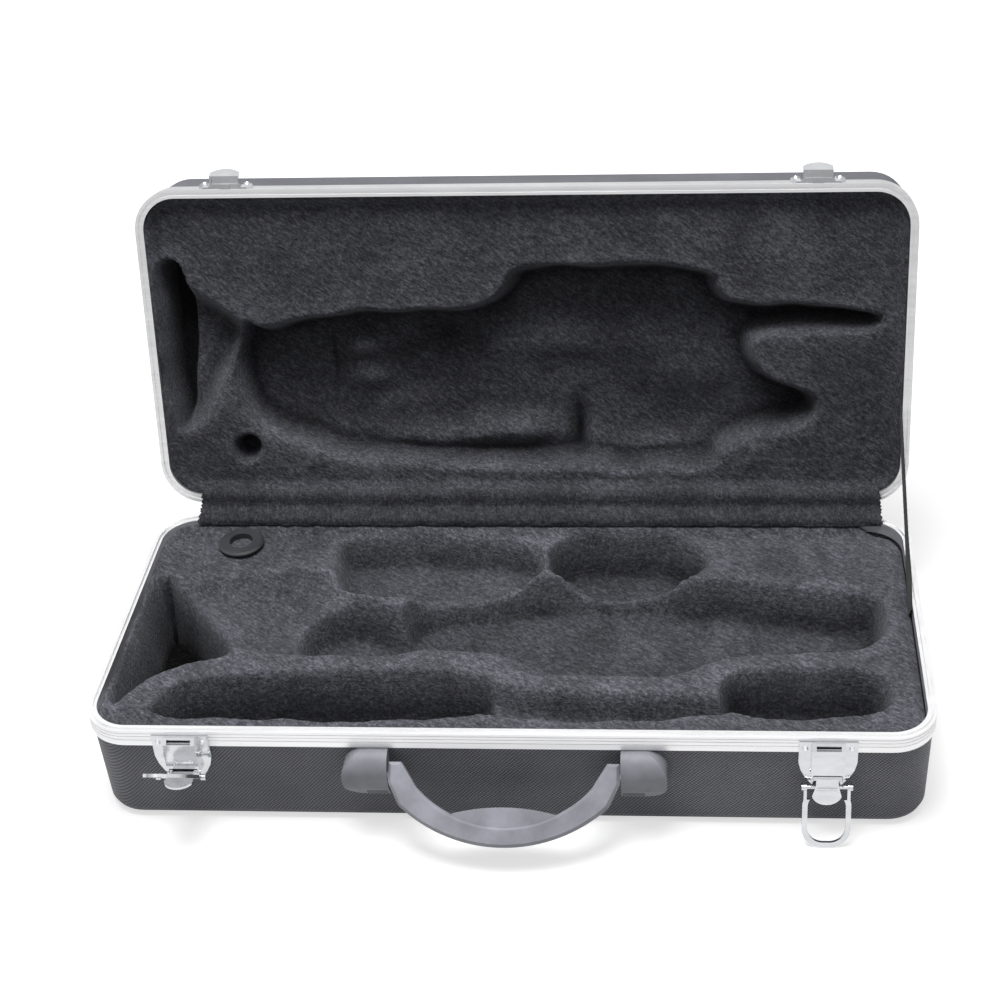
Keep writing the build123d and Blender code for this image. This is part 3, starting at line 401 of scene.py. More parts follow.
def emboss_material(name, level, pitch, turn):
    """Black moulded sheet with a fine lattice of raised dots in slanting rows, the dots painted
    lighter than the hollows between them as painted shade.
    """
    s = Shader(name)
    coords = s.node("ShaderNodeTexCoord").outputs
    x, y, z = s.split(s.mapped(coords["Object"], Rotation=(turn, 0, 0)))
    facing = s.split(s.mapped(coords["Normal"], Rotation=(turn, 0, 0)))
    flat = s.math("GREATER_THAN", s.math("ABSOLUTE", facing[2]), FLAT_FACING)
    upright = s.math("SUBTRACT", 1.0, flat)
    across = s.math("ADD", x, s.math("MULTIPLY", y, upright))
    rise = s.math("ADD", s.math("MULTIPLY", z, upright), s.math("MULTIPLY", y, flat))
    turns = 2 * math.pi / pitch
    slanted = s.math("ADD", across, s.math("MULTIPLY", rise, DOT_SLANT))
    dots = s.math("SINE", s.math("MULTIPLY", slanted, turns))
    rows = s.math("SINE", s.math("MULTIPLY", rise, turns * ROW_TURNS))
    weave = s.math("MULTIPLY", dots, rows)
    grain = s.noise(140.0, detail=3.0, rough=0.6)
    soil = s.noise(9.0, detail=5.0, rough=0.6)
    # Painted shade: the raised dots are painted lighter and the hollows darker, over random soil
    # blotches
    shade = s.math("ADD", s.math("MULTIPLY", weave, 0.30), s.math("MULTIPLY", soil, 0.5))
    dark, light = grey(level * 0.52, COOL), grey(level * 1.55, COOL)
    s.feed("Base Color", s.ramp(shade, [(0.02, dark), (0.24, grey(level, COOL)), (0.50, light)]))
    normal = s.bump(weave, strength=0.55, distance=0.00035)
    s.feed("Normal", s.bump(grain, strength=0.15, distance=0.0002, before=normal))
    s.feed("Roughness", s.spread(soil, 0.42, 0.58))
    s.value("Specular IOR Level", 0.42)
    return s.material


def metal_material(name, colour, low, high, streak, strength=0.05, metallic=1.0):
    """Metal with drawn streaks, fine scratches and uneven polish."""
    s = Shader(name)
    streaks = s.noise(60.0, detail=4.0, rough=0.6, stretch=streak)
    smudge = s.noise(35.0, detail=4.0, rough=0.6)
    duller = tuple(part * 0.86 for part in colour)
    s.feed("Base Color", s.ramp(streaks, [(0.3, duller), (0.7, colour)]))
    s.feed("Roughness", s.spread(smudge, low, high))
    s.feed("Normal", s.bump(streaks, strength, distance=0.0002))
    s.value("Metallic", metallic)
    return s.material


def plastic_material(name, level, low, high, strength=0.12):
    """Moulded plastic with a fine grain, wear and faint blotches."""
    s = Shader(name)
    blotch = s.noise(45.0, detail=4.0, rough=0.6)
    grain = s.noise(700.0, detail=2.0, rough=0.6)
    stops = [
        (0.3, grey(level * 0.9, 0.14)),
        (0.5, grey(level, 0.14)),
        (0.72, grey(level * 1.1, 0.16)),
    ]
    s.feed("Base Color", s.ramp(blotch, stops))
    s.feed("Roughness", s.spread(blotch, low, high))
    s.feed("Normal", s.bump(grain, strength, distance=0.0003))
    s.value("Specular IOR Level", 0.45)
    return s.material


def webbing_material(name, level):
    """Flat woven tape with a visible cross weave."""
    s = Shader(name)
    _, y, z = s.split(s.node("ShaderNodeTexCoord").outputs["Object"])
    along = s.math("ADD", s.math("MULTIPLY", y, TAPE_COS), s.math("MULTIPLY", z, TAPE_SIN))
    across = s.math("SUBTRACT", s.math("MULTIPLY", z, TAPE_COS), s.math("MULTIPLY", y, TAPE_SIN))
    warp = s.math("SINE", s.math("MULTIPLY", along, WARP_TURNS))
    weft = s.math("SINE", s.math("MULTIPLY", across, WEFT_TURNS))
    weave = s.math("MULTIPLY", warp, weft)
    height = s.math("ADD", s.math("MULTIPLY", weave, 0.5), 0.5)
    s.feed("Base Color", s.ramp(height, [(0.2, grey(level * 0.6)), (0.8, grey(level * 1.4))]))
    s.feed("Normal", s.bump(weave, strength=0.6, distance=0.0004))
    s.value("Roughness", 0.85)
    s.value("Sheen Weight", 0.15)
    return s.material


def dress(material, *nodes):
    """Puts one material on CAD nodes."""
    for node in nodes:
        mesh = NODES[node].data
        if len(mesh.materials):
            for index in range(len(mesh.materials)):
                mesh.materials[index] = material
        else:
            mesh.materials.append(material)


# Settings
class CaseLinerSettings(bpy.types.PropertyGroup):
    """Form and colour of the plush linings"""

    step: FloatProperty(
        name="Grid step",
        description="Spacing of the lining's mesh",
        default=0.0017,
        subtype="DISTANCE",
    )
    drop: FloatProperty(
        name="Liner drop",
        description="Distance of the lining's face below the rim",
        default=0.007,
        subtype="DISTANCE",
    )
    swell: FloatProperty(
        name="Swell",
        description="Height of the soft undulation of the plush",
        default=0.0013,
        subtype="DISTANCE",
    )
    level: FloatProperty(
        name="Plush level",
        description="Brightness of the plush as an sRGB level of 0 to 255",
        default=76.0,
    )


class CaseShellSettings(bpy.types.PropertyGroup):
    """Colours of the shells, the trim and the plated parts"""

    level: FloatProperty(
        name="Shell level",
        description="Brightness of the shells as an sRGB level of 0 to 255",
        default=83.0,
    )
    pitch: FloatProperty(
        name="Emboss pitch",
        description="Distance between the raised dots of the shells",
        default=0.0026,
        subtype="DISTANCE",
    )
    trim: FloatVectorProperty(
        name="Trim colour",
        description="Colour of the edge trim",
        default=(0.96, 0.96, 0.97),
        subtype="COLOR",
    )
    chrome: FloatVectorProperty(
        name="Chrome colour",
        description="Colour of the plated latches and keepers",
        default=(0.70, 0.71, 0.73),
        subtype="COLOR",
    )


class CaseHandleSettings(bpy.types.PropertyGroup):
    """Greys of the handle"""

    grip_level: FloatProperty(
        name="Grip level",
        description="Brightness of the grip as an sRGB level of 0 to 255",
        default=142.0,
    )
    mount_level: FloatProperty(
        name="Mount level",
        description="Brightness of the grip's mounts as an sRGB level of 0 to 255",
        default=127.0,
    )


class CaseStageSettings(bpy.types.PropertyGroup):
    """Camera and light"""

    lens: FloatProperty(
        name="Lens",
        description="Focal length of the camera",
        default=65.663,
        subtype="DISTANCE_CAMERA",
    )
    shift: FloatProperty(
        name="Shift",
        description="Sideways shift of the lens, in widths of the picture",
        default=-0.08,
    )
    key: FloatProperty(
        name="Key light",
        description="Power of the large light above the case",
        default=29.0,
        subtype="POWER",
    )
    side: FloatProperty(
        name="Side light",
        description="Power of the light at the front left",
        default=1.0,
        subtype="POWER",
    )
    sky: FloatProperty(
        name="Sky",
        description="Strength of the soft light from all around",
        default=0.62,
    )


# Stage. The camera was solved from the rims and edges of the case in the photograph
CAMERA_PLACE = (0.124759, -0.964767, 0.865726)  # metres
CAMERA_YAW = 0.081
CAMERA_PITCH = 0.618
CAMERA_ROLL = -0.046
SENSOR = 36.0  # millimetres

# Name, size, place and target of each lamp, in metres
LAMPS = (
    ("key", 0.8, (-0.10, -0.10, 1.75), (0.0, 0.02, 0.1)),
    ("side", 0.9, (-1.1, -1.3, 0.9), (0.0, 0.0, 0.1)),
)

# Greys of the surround, from straight down at 0 to straight up at 1
SOFT_SKY = [(0.0, 0.2), (0.5, 0.12), (0.7, 0.3), (1.0, 1.0)]
MIRRORED_SKY = [(0.0, 0.3), (0.5, 0.42), (0.62, 0.75), (0.78, 1.0)]

FLOOR_HALF = 3000.0  # millimetres
FLOOR_GREY = (0.55, 0.55, 0.55, 1.0)
FLOOR_NEAR = (0.45, 0.62)  # metres from the middle, and the white added there
FLOOR_FAR = (1.6, 1.05)
FLOOR_MIRRORED = 0.42  # white that shiny parts see in the floor


def graded(tree, source, stops, strength):
    """Background of a world whose grey follows one direction from low to high."""
    spread = tree.nodes.new("ShaderNodeMapRange")
    spread.inputs["From Min"].default_value = -1.0
    tree.links.new(source, spread.inputs["Value"])
    ramp = tree.nodes.new("ShaderNodeValToRGB")
    elements = ramp.color_ramp.elements
    while len(elements) < len(stops):
        elements.new(0.5)
    for element, (place, level) in zip(elements, stops):
        element.position = place
        element.color = (level, level, level, 1.0)
    tree.links.new(spread.outputs[0], ramp.inputs["Fac"])
    shade = tree.nodes.new("ShaderNodeBackground")
    shade.inputs["Strength"].default_value = strength
    tree.links.new(ramp.outputs["Color"], shade.inputs["Color"])
    return shade.outputs[0]


def make_surround(scene, strength):
    """World that is white to the camera, graded to shiny parts and soft to the rest."""
    world = bpy.data.worlds.new("surround")
    scene.world = world
    world.use_nodes = True
    tree = world.node_tree
    split = tree.nodes.new("ShaderNodeSeparateXYZ")
    tree.links.new(tree.nodes.new("ShaderNodeTexCoord").outputs["Generated"], split.inputs[0])
    soft = graded(tree, split.outputs["Z"], SOFT_SKY, strength)
    mirrored = graded(tree, split.outputs["Z"], MIRRORED_SKY, 1.0)
    white = tree.nodes["Background"]
    white.inputs["Color"].default_value = (1, 1, 1, 1)
    white.inputs["Strength"].default_value = 1.0
    path = tree.nodes.new("ShaderNodeLightPath")
    out = soft
    for ray, shown in (("Is Glossy Ray", mirrored), ("Is Camera Ray", white.outputs[0])):
        mix = tree.nodes.new("ShaderNodeMixShader")
        tree.links.new(path.outputs[ray], mix.inputs[0])
        tree.links.new(out, mix.inputs[1])
        tree.links.new(shown, mix.inputs[2])
        out = mix.outputs[0]
    tree.links.new(out, tree.nodes["World Output"].inputs[0])


def make_floor():
    """Floor that keeps the case's shadow and turns white with distance."""
    near, far = -FLOOR_HALF, FLOOR_HALF
    corners = [[(near, near, 0), (near, far, 0)], [(far, near, 0), (far, far, 0)]]
    floor = grid_object("stage_floor", np.array(corners, float))
    s = Shader("stage_floor")
    s.value("Base Color", FLOOR_GREY)
    s.value("Roughness", 0.9)
    s.value("Specular IOR Level", 0.0)
    s.value("Emission Color", (1.0, 1.0, 1.0, 1.0))
    path = s.node("ShaderNodeLightPath")
    away = s.node("ShaderNodeVectorMath", operation="LENGTH")
    s.link(s.node("ShaderNodeNewGeometry").outputs["Position"], away.inputs[0])
    lift = s.node("ShaderNodeMapRange")
    for end, (distance, white) in (("Min", FLOOR_NEAR), ("Max", FLOOR_FAR)):
        lift.inputs["From " + end].default_value = distance
        lift.inputs["To " + end].default_value = white
    s.link(away.outputs["Value"], lift.inputs["Value"])
    seen = s.math("MULTIPLY", path.outputs["Is Camera Ray"], lift.outputs[0])
    mirrored = s.math("MULTIPLY", path.outputs["Is Glossy Ray"], FLOOR_MIRRORED)
    s.feed("Emission Strength", s.math("MAXIMUM", seen, mirrored))
    floor.data.materials.append(s.material)


def make_lamps(scene, powers):
    """Square lamps, each aimed at its target."""
    for name, size, place, target in LAMPS:
        light = bpy.data.lights.new(name, "AREA")
        light.shape = "SQUARE"
        light.size = size
        light.energy = powers[name]
        lamp = bpy.data.objects.new(name, light)
        scene.collection.objects.link(lamp)
        lamp.location = place
        aim = Vector(target) - Vector(place)
        lamp.rotation_euler = aim.to_track_quat("-Z", "Y").to_euler()


def make_camera(scene, lens, shift):
    """Camera from its place, yaw, pitch and roll."""
    yaw, pitch, roll = CAMERA_YAW, CAMERA_PITCH, CAMERA_ROLL
    level = math.cos(pitch)
    forward = Vector((-math.sin(yaw) * level, math.cos(yaw) * level, -math.sin(pitch)))
    right = Vector((math.cos(yaw), math.sin(yaw), 0.0))
    up = right.cross(forward)
    turned_right = right * math.cos(roll) + up * math.sin(roll)
    turned_up = up * math.cos(roll) - right * math.sin(roll)
    camera = bpy.data.cameras.new("camera")
    camera.lens = lens
    camera.sensor_width = SENSOR
    camera.shift_x = shift
    camera.clip_start = 0.05
    camera.clip_end = 50.0
    obj = bpy.data.objects.new("camera", camera)
    scene.collection.objects.link(obj)
    rotation = Matrix((turned_right, turned_up, -forward)).transposed().to_4x4()
    obj.matrix_world = Matrix.Translation(CAMERA_PLACE) @ rotation
    scene.camera = obj


class CASE_OT_stage(bpy.types.Operator):
    """Sets the floor, the surround, the lights and the camera"""

    bl_idname = "case.stage"
    bl_label = "Stage"

    def execute(self, context):
        p = context.scene.case_stage
        scene = context.scene
        scene.view_settings.view_transform = "Standard"
        make_surround(scene, p.sky)
        make_floor()
        make_lamps(scene, {"key": p.key, "side": p.side})
        make_camera(scene, p.lens, p.shift)
        return {"FINISHED"}


# Linings. Each recess has its outline, the depth of its floor under the rim, the width of
# its wall and the crown of its floor, in millimetres. The base's outlines are x and y.
BASE_RECESSES = [
    (  # bell
        [(-266, 66), (-246, 42), (-226, 20), (-204, -8), (-192, -30), (-226, -40), (-250, -56),
         (-266, -92)],
        62, 9, 2,
    ),
    (  # shelf beside the bell
        [(-250, 42), (-228, 18), (-204, -12), (-194, -30), (-110, -30), (-96, -20), (-94, 30),
         (-122, 36), (-134, 46), (-142, 66), (-186, 66), (-216, 62)],
        15, 15, 7,
    ),
    (  # throat
        [(-158, 14), (-124, 32), (-98, 30), (-72, 12), (-60, -8), (-64, -27), (-110, -30),
         (-152, -26)],
        40, 13, 2,
    ),
    (  # valves and tubes
        [(-88, 12), (-88, -22), (-44, -26), (-21, -26), (-2, -31), (13, -42), (30, -48),
         (112, -48), (128, -36), (144, -28), (223, -22), (240, -14), (251, 0), (251, 40),
         (223, 42), (165, 50), (134, 58), (18, 59), (-20, 50), (-76, 42)],
        40, 11, 3,
    ),
    (  # rear left
        [(-143, 98), (-136, 46), (-122, 38), (-90, 34), (-70, 36), (14, 54), (12, 98), (-60, 103),
         (-124, 103)],
        31, 11, 2,
    ),
    (  # rear middle
        [(13, 107), (17, 52), (129, 54), (129, 107)],
        42, 10, 2,
    ),
    (  # front left
        [(-242, -93), (-234, -72), (-214, -55), (-180, -50), (-60, -45), (-28, -45), (-9, -56),
         (-7, -93)],
        49, 11, 3,
    ),
    (  # shelf between the two at the front
        [(-34, -93), (-28, -54), (16, -65), (34, -67), (150, -67), (153, -89)],
        27, 10, 2,
    ),
    (  # front right
        [(138, -89), (138, -53), (156, -43), (226, -39), (247, -47), (251, -87)],
        47, 10, 2,
    ),
]

# The lid's outlines are x and the distance from its hinge side
LID_RECESSES = [
    (  # the whole instrument
        [(-206, 140), (-194, 129), (-165, 138), (-125, 143), (-31, 143), (-16, 158), (-9, 176),
         (25, 176), (134, 175), (137, 154), (150, 145), (252, 145), (253, 126), (162, 127),
         (160, 108), (170, 94), (205, 81), (211, 67), (202, 58), (142, 40), (138, 23), (60, 22),
         (-53, 25), (-142, 29), (-158, 38), (-206, 54), (-221, 97)],
        37, 13, 3,
    ),
    (  # slot of the bell's rim
        [(-267, 54), (-267, 182), (-250, 184), (-243, 162), (-242, 140), (-244, 100), (-249, 70),
         (-256, 54)],
        45, 10, 0,
    ),
    (  # slope from that slot to the bell
        [(-262, 56), (-252, 178), (-241, 160), (-200, 132), (-211, 110), (-230, 80), (-248, 56)],
        29, 20, 0,
    ),
    (  # mouthpiece
        [(-222, 40), (-219, 48), (-211, 51), (-203, 48), (-200, 40), (-203, 32), (-211, 29),
         (-219, 32)],
        27, 7, 0,
    ),
    (  # dip at the left of the long recess
        [(-152, 128), (-138, 128), (-136, 100), (-140, 62), (-152, 62), (-156, 96)],
        43, 14, 0,
    ),
]

# Soft swellings and dips in the lid's recesses: x, distance from the hinge side, both half
# sizes and the height
LID_LUMPS = [
    (-70.0, 42.0, 60.0, 13.0, 13.0),
    (-12.0, 48.0, 30.0, 12.0, 11.0),
    (95.0, 34.0, 46.0, 10.0, 9.0),
    (-122.0, 110.0, 14.0, 9.0, 11.0),
    (-118.0, 88.0, 16.0, 9.0, 9.0),
    (-60.0, 120.0, 24.0, 14.0, -8.0),
    (35.0, 42.0, 6.5, 24.0, -11.0),
    (120.0, 90.0, 30.0, 22.0, 5.0),
    (20.0, 112.0, 60.0, 12.0, 4.0),
    (-95.0, 66.0, 34.0, 14.0, 6.0),
]

# Plush surface, in millimetres
RECESS_BLEND = 3.0  # rounding where recesses meet the face and each other
WALL_START = 0.30  # share of a recess's wall that lies outside its outline
CROWN_RUN = 40.0  # distance over which a floor rises to its crown
WANDER = 1.8  # how far the outlines of the recesses wander
WANDER_SIZES = (26.0, 24.0)
LUMP_FADE = 12.0  # lumps fade out above this depth
SWELL_SIZE = 31.0
SWELL_FADE = 20.0  # the swell fades out this near the edge
RIPPLE = 0.35  # share of the swell's height
RIPPLE_SIZE = 9.0
BRUSHED_HEIGHT = 0.26
BRUSHED_TURN = (0.8, 1.4)  # direction of the brushed pile
BRUSHED_SIZE = 3.6
TUFT_HEIGHT = 0.20
TUFT_SIZE = 2.2
EDGE_ROUND = 1.3  # how sharply a lining's edge turns up to its trim

# Edge of the base's lining: it swells up to the rim, most at the rear and not at the right
REAR_START = 92.0
RIGHT_START = 236.0
SIDE_FADE = 16.0
BASE_EDGE_GAP = 0.8
SIDE_SHARE = 0.45
REAR_BEAD = 10.0
SIDE_BEAD = 6.0
BEAD_DEPTH = 20.0  # the bead fades out this deep in a recess that reaches the edge
RIGHT_SINK = 3.0
RIGHT_RUN = 9.0

# Edge of the lid's lining
LID_EDGE_GAP = 0.5
LID_BEAD = 9.0

# Brushed direction of the plush, how much painted shade darkens its recesses, and its level for
# the base's
BASE_BRUSHED = (0, 0, math.radians(35))
LID_BRUSHED = (-OPEN, 0, math.radians(-35))
STRIP_BRUSHED = (0, 0, math.radians(80))
BASE_PAINTED_SHADE = 0.72
LID_PAINTED_SHADE = 0.95
# The lid's and the strip's plush are darker copies of the base's: painted shade
LID_PAINTED_SHADE_LEVEL = 0.86
STRIP_PAINTED_SHADE_LEVEL = 0.76


def recess_height(x, y, recesses, drop):
    """Height over the rim plane, so below zero, of a lining's face and its recesses."""
    height = np.full(x.shape, -drop)
    for outline, floor, wall, crown in recesses:
        inside = inside_distance(x, y, outline)
        fall = smooth((inside + wall * WALL_START) / wall)
        dish = crown * smooth(inside / CROWN_RUN)
        height = soft_min(height, -drop - (floor - drop + dish) * fall, RECESS_BLEND)
    return height


def lined_surface(recesses, p, seed, lumps=()):
    """Points of a plush face over the whole tray, its edge distance and its depth."""
    x, y, edge = liner_grid(p.step * MM)
    drop = p.drop * MM
    swell = p.swell * MM
    warp_x = x + WANDER * value_noise(x, y, WANDER_SIZES[0], seed + 1)
    warp_y = y + WANDER * value_noise(x, y, WANDER_SIZES[1], seed + 2)
    z = recess_height(warp_x, warp_y, recesses, drop)
    within = smooth((-z - drop) / LUMP_FADE)
    for at_x, at_v, half_x, half_v, height in lumps:
        reach = ((warp_x - at_x) / half_x) ** 2 + ((DEPTH / 2 - warp_y - at_v) / half_v) ** 2
        z = z + height * np.exp(-reach) * within
    depth = -z - drop
    z = z + swell * value_noise(x, y, SWELL_SIZE, seed + 3) * smooth(edge / SWELL_FADE)
    z = z + RIPPLE * swell * value_noise(x, y, RIPPLE_SIZE, seed + 4)
    turn_x, turn_y = BRUSHED_TURN
    brushed_x = x * turn_x + y * turn_y
    brushed_y = y * turn_x - x * turn_y
    z = z + BRUSHED_HEIGHT * value_noise(brushed_x, brushed_y, BRUSHED_SIZE, seed + 5)
    z = z + TUFT_HEIGHT * value_noise(x, y, TUFT_SIZE, seed + 6)
    return np.stack([x, y, z], -1), edge, depth


class CASE_OT_base_liner(bpy.types.Operator):
    """Builds the plush lining of the base with its moulded recesses"""

    bl_idname = "case.base_liner"
    bl_label = "Base liner"

    def execute(self, context):
        p = context.scene.case_liner
        points, edge, depth = lined_surface(BASE_RECESSES, p, seed=11)
        x, y = points[..., 0], points[..., 1]
        rear = smooth((y - REAR_START) / SIDE_FADE)
        right = smooth((x - RIGHT_START) / SIDE_FADE)
        share = np.maximum(rear * (1 - right), SIDE_SHARE * (1 - right))
        rise = (p.drop * MM - BASE_EDGE_GAP) * share
        reach = np.where(rear > 0.5, REAR_BEAD, SIDE_BEAD)
        bead = (1 - smooth(edge / reach)) ** EDGE_ROUND
        sink = RIGHT_SINK * right * (1 - smooth(edge / RIGHT_RUN)) ** 2
        points[..., 2] += rise * bead * smooth(1.2 - depth / BEAD_DEPTH) - sink
        points[..., 2] += RIM
        obj = grid_object("base_lining", add_skirt(points))
        # Painted shade in the base's recesses and painted highlight on its ridges
        mark_painted_shade(obj, depth)
        plush = plush_material("plush_base", p.level, BASE_BRUSHED, BASE_PAINTED_SHADE)
        obj.data.materials.append(plush)
        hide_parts(*BASE_BLOCKS)
        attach(obj, "base")
        return {"FINISHED"}


class CASE_OT_lid_liner(bpy.types.Operator):
    """Builds the plush lining of the lid with its moulded recesses"""

    bl_idname = "case.lid_liner"
    bl_label = "Lid liner"

    def execute(self, context):
        p = context.scene.case_liner
        recesses = [([(x, DEPTH / 2 - v) for x, v in ring], *rest) for ring, *rest in LID_RECESSES]
        points, edge, depth = lined_surface(recesses, p, seed=37, lumps=LID_LUMPS)
        rise = p.drop * MM - LID_EDGE_GAP
        points[..., 2] += rise * (1 - smooth(edge / LID_BEAD)) ** EDGE_ROUND
        points = add_skirt(points)
        points[..., 2] = LID_RIM - points[..., 2]
        obj = grid_object("lid_lining", opened(points)[::-1])
        # Painted shade in the lid's recesses, on a darker copy of the plush that paints the lid's
        # shade
        mark_painted_shade(obj, depth[::-1])
        plush = plush_material("plush_lid", p.level * LID_PAINTED_SHADE_LEVEL, LID_BRUSHED, LID_PAINTED_SHADE)
        obj.data.materials.append(plush)
        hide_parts(*LID_BLOCKS)
        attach(obj, "lid")
        return {"FINISHED"}


# Plush strip over the hinges, in millimetres. Its route is y and z.
STRIP_LEFT = -248.0
STRIP_RIGHT = 257.0
STRIP_INNER = DEPTH / 2 - TRIM - 1.3  # where it meets both linings
STRIP_ROUTE = [
    (STRIP_INNER - 0.4, RIM - 2.4),
    (STRIP_INNER + 0.2, RIM + 1.6),
    (STRIP_INNER + 3.2, RIM + 2.9),
    (DEPTH / 2 + 1.0, RIM + 2.4),
    (DEPTH / 2 + 5.2, RIM + 2.6),
    turned_point(DEPTH / 2 + 1.4, LID_RIM - 1.9),
    turned_point(STRIP_INNER + 3.0, LID_RIM - 2.1),
    turned_point(STRIP_INNER, LID_RIM - 0.9),
    turned_point(STRIP_INNER - 0.4, LID_RIM + 2.4),
]
STRIP_ABOVE = 1.0  # pile above the route
STRIP_BELOW = 0.8  # backing under it
STRIP_COLUMNS = 300
STRIP_SPACING = 1.3  # between its lengthwise lines, as the noise sees them
STRIP_CURL = 5.0  # length of each end that draws in
STRIP_FRAY = 1.5  # how far an end draws in, and how much that varies


class CASE_OT_hinge_strip(bpy.types.Operator):
    """Builds the plush strip that covers the hinges from base to lid"""

    bl_idname = "case.hinge_strip"
    bl_label = "Hinge strip"

    def execute(self, context):
        p = context.scene.case_liner
        line = cut_corners(STRIP_ROUTE, closed=False)
        tangent = np.gradient(line, axis=0)
        tangent /= np.linalg.norm(tangent, axis=1)[:, None]
        normal = np.stack([-tangent[:, 1], tangent[:, 0]], 1)
        upper = line + normal * STRIP_ABOVE
        lower = line - normal * STRIP_BELOW
        loop = np.vstack([upper, lower[::-1]])
        points = np.zeros((STRIP_COLUMNS, len(loop), 3))
        points[..., 0] = np.linspace(STRIP_LEFT, STRIP_RIGHT, STRIP_COLUMNS)[:, None]
        points[..., 1] = loop[None, :, 0]
        points[..., 2] = loop[None, :, 1]
        across = np.arange(len(loop))[None, :] * STRIP_SPACING
        wave = 0.35 * value_noise(points[..., 0], across, 6.0, 5)
        wave = wave + 0.25 * value_noise(points[..., 0], across, 2.4, 6)
        outward = np.vstack([normal, -normal[::-1]])
        points[..., 1] += wave * outward[None, :, 0]
        points[..., 2] += wave * outward[None, :, 1]
        fray = value_noise(across + 0 * points[..., 0], across * 0 + 3.0, 1.7, 9)
        left_end = STRIP_LEFT + STRIP_CURL - points[..., 0]
        right_end = points[..., 0] - STRIP_RIGHT + STRIP_CURL
        end = smooth(np.maximum(left_end, right_end) / STRIP_CURL)
        points[..., 0] -= np.sign(points[..., 0]) * end * (STRIP_FRAY + STRIP_FRAY * fray)
        obj = grid_object("plush_strip", points, wrap=True)
        # The strip's plush is a darker copy of the base's: painted shade
        plush = plush_material("plush_strip", p.level * STRIP_PAINTED_SHADE_LEVEL, STRIP_BRUSHED, 0.0)
        obj.data.materials.append(plush)
        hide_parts("hinge_strip")
        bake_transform(obj)
        return {"FINISHED"}


# Stay tape, in millimetres. Its ends are y and z.
STAY_START = (15.0, 72.2)
STAY_END = turned_point(DEPTH / 2 - 70.0, LID_RIM + 6.6)
STAY_HALF_WIDTH = 6.6
STAY_HALF_THICKNESS = 0.5
STAY_ROWS = 110
STAY_COLUMNS = 9
STAY_TWIST = math.radians(14.0)
STAY_TWIST_AT = 0.16  # share of the length where it twists most
STAY_TWIST_RUN = 0.12
STAY_RIB = 0.12  # how much the thickness varies from row to row
STAY_RIB_TURN = 2.1
STAY_LEVEL = 34.0


class CASE_OT_stay(bpy.types.Operator):
    """Builds the flat woven tape that stops the lid"""

    bl_idname = "case.stay"
    bl_label = "Stay"

    def execute(self, context):
        low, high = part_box("stay_strap")
        x = (low.x + high.x) * MM / 2
        start = np.array(STAY_START)
        end = np.array(STAY_END)
        run = end - start
        length = float(np.hypot(*run))
        along = run / length
        across = np.array([-along[1], along[0]])
        shares = np.linspace(-1, 1, STAY_COLUMNS)
        section = [(share * STAY_HALF_WIDTH, STAY_HALF_THICKNESS) for share in shares]
        section += [(share * STAY_HALF_WIDTH, -STAY_HALF_THICKNESS) for share in shares[::-1]]
        points = np.zeros((STAY_ROWS, len(section), 3))
        for i in range(STAY_ROWS):
            t = i / (STAY_ROWS - 1)
            twist = STAY_TWIST * math.exp(-((t - STAY_TWIST_AT) / STAY_TWIST_RUN) ** 2)
            rib = 1 + STAY_RIB * math.sin(i * STAY_RIB_TURN)
            centre = start + along * length * t
            for j, (w, h) in enumerate(section):
                side = w * math.sin(twist) * 0.5 + h * rib
                y, z = centre + across * (w * math.cos(twist))
                points[i, j] = (x + side, y, z)
        obj = grid_object("stay_tape", points, wrap=True)
        obj.data.materials.append(webbing_material("webbing", STAY_LEVEL))
        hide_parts("stay_strap")
        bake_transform(obj)
        return {"FINISHED"}


# Finishes of the rigid pieces: colour or level, least and most roughness, and the stretch of
# a metal's streaks
TRIM_POLISH = (0.24, 0.38, (0.08, 1.0, 6.0))
CHROME_POLISH = (0.10, 0.24, (1.0, 1.0, 3.0))
RIVET_FINISH = ((0.86, 0.86, 0.88), 0.18, 0.34, (1.0, 1.0, 1.0))
HINGE_FINISH = ((0.62, 0.63, 0.65), 0.22, 0.42, (4.0, 1.0, 1.0))
GRIP_GLOSS = (0.40, 0.58)
MOUNT_GLOSS = (0.42, 0.60)
HOLDER_FINISH = (62.0, 0.28, 0.42)

CHROME_NODES = (
    "latch_plate_left",
    "latch_plate_right",
    "latch_lever_left",
    "latch_lever_right",
    "latch_bail_left",
    "latch_bail_right",
    "keeper_left",
    "keeper_right",
    "lever_pins",
)
RIVET_NODES = ("base_rivets", "lid_rivets")
HINGE_NODES = ("hinge_leaves_base", "hinge_leaves_lid", "hinge_pins")


class CASE_OT_shells(bpy.types.Operator):
    """Gives the moulded shells their embossed skin and the trim its metal"""

    bl_idname = "case.shells"
    bl_label = "Shells and trim"

    def execute(self, context):
        p = context.scene.case_shell
        dress(emboss_material("base_emboss", p.level, p.pitch, 0.0), "base_shell")
        dress(emboss_material("lid_emboss", p.level, p.pitch, -OPEN), "lid_shell")
        colour = tuple(p.trim)
        trim = metal_material("trim_metal", colour, *TRIM_POLISH, strength=0.10, metallic=0.8)
        dress(trim, "base_valance", "lid_valance")
        return {"FINISHED"}


class CASE_OT_hardware(bpy.types.Operator):
    """Plates the latches, keepers, hinges, pins and rivets"""

    bl_idname = "case.hardware"
    bl_label = "Latches, hinges and rivets"

    def execute(self, context):
        colour = tuple(context.scene.case_shell.chrome)
        chrome = metal_material("latch_chrome", colour, *CHROME_POLISH, strength=0.04)
        dress(chrome, *CHROME_NODES)
        dress(metal_material("rivet_metal", *RIVET_FINISH), *RIVET_NODES)
        dress(metal_material("hinge_steel", *HINGE_FINISH, strength=0.08), *HINGE_NODES)
        return {"FINISHED"}


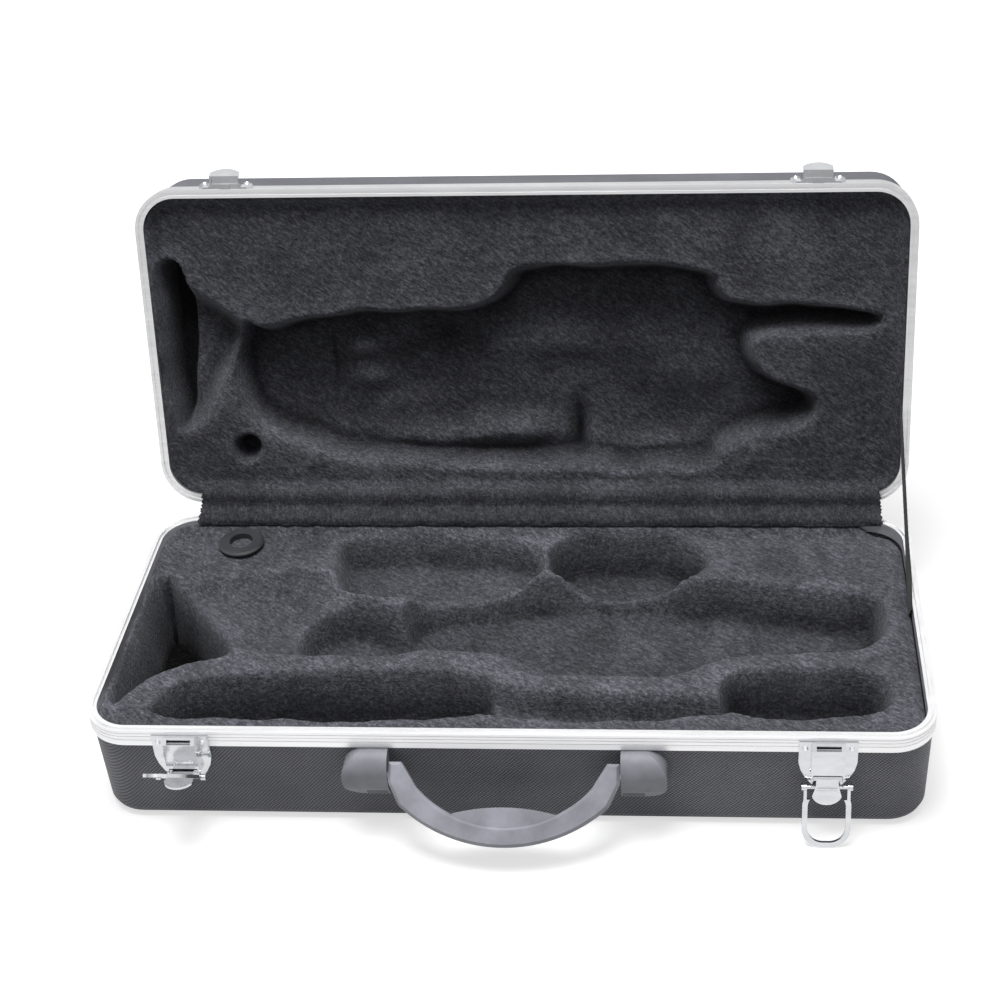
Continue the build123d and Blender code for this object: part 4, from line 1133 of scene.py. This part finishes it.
class CASE_OT_handle(bpy.types.Operator):
    """Gives the grip and its mounts their moulded plastic"""

    bl_idname = "case.handle"
    bl_label = "Handle"

    def execute(self, context):
        p = context.scene.case_handle
        dress(plastic_material("grip_plastic", p.grip_level, *GRIP_GLOSS), "handle_grip")
        mount = plastic_material("mount_plastic", p.mount_level, *MOUNT_GLOSS)
        dress(mount, "handle_mount_left", "handle_mount_right")
        return {"FINISHED"}


class CASE_OT_holder(bpy.types.Operator):
    """Gives the mouthpiece holder its dark moulded plastic"""

    bl_idname = "case.holder"
    bl_label = "Mouthpiece holder"

    def execute(self, context):
        holder = plastic_material("holder_plastic", *HOLDER_FINISH, strength=0.08)
        dress(holder, "mouthpiece_holder")
        return {"FINISHED"}


class CASE_PT_panel(bpy.types.Panel):
    """Lists the pieces of the case"""

    bl_idname = "CASE_PT_panel"
    bl_label = "Trumpet case"
    bl_space_type = "VIEW_3D"
    bl_region_type = "UI"
    bl_category = "Case"

    def draw(self, context):
        layout = self.layout
        for operator in OPERATORS:
            layout.operator(operator.bl_idname, text=operator.bl_label)
        for group in GROUPS:
            box = layout.box()
            settings = getattr(context.scene, group)
            for key in settings.__annotations__:
                box.prop(settings, key)


OPERATORS = (
    CASE_OT_stage,
    CASE_OT_base_liner,
    CASE_OT_lid_liner,
    CASE_OT_hinge_strip,
    CASE_OT_stay,
    CASE_OT_shells,
    CASE_OT_hardware,
    CASE_OT_handle,
    CASE_OT_holder,
)
GROUPS = {
    "case_liner": CaseLinerSettings,
    "case_shell": CaseShellSettings,
    "case_handle": CaseHandleSettings,
    "case_stage": CaseStageSettings,
}


def register():
    for group, settings in GROUPS.items():
        bpy.utils.register_class(settings)
        setattr(bpy.types.Scene, group, PointerProperty(type=settings))
    for operator in OPERATORS:
        bpy.utils.register_class(operator)
    bpy.utils.register_class(CASE_PT_panel)


def unregister():
    bpy.utils.unregister_class(CASE_PT_panel)
    for operator in reversed(OPERATORS):
        bpy.utils.unregister_class(operator)
    for group, settings in GROUPS.items():
        delattr(bpy.types.Scene, group)
        bpy.utils.unregister_class(settings)


def main():
    register()
    for operator in OPERATORS:
        family, name = operator.bl_idname.split(".")
        getattr(getattr(bpy.ops, family), name)()


if __name__ == "__main__":
    main()
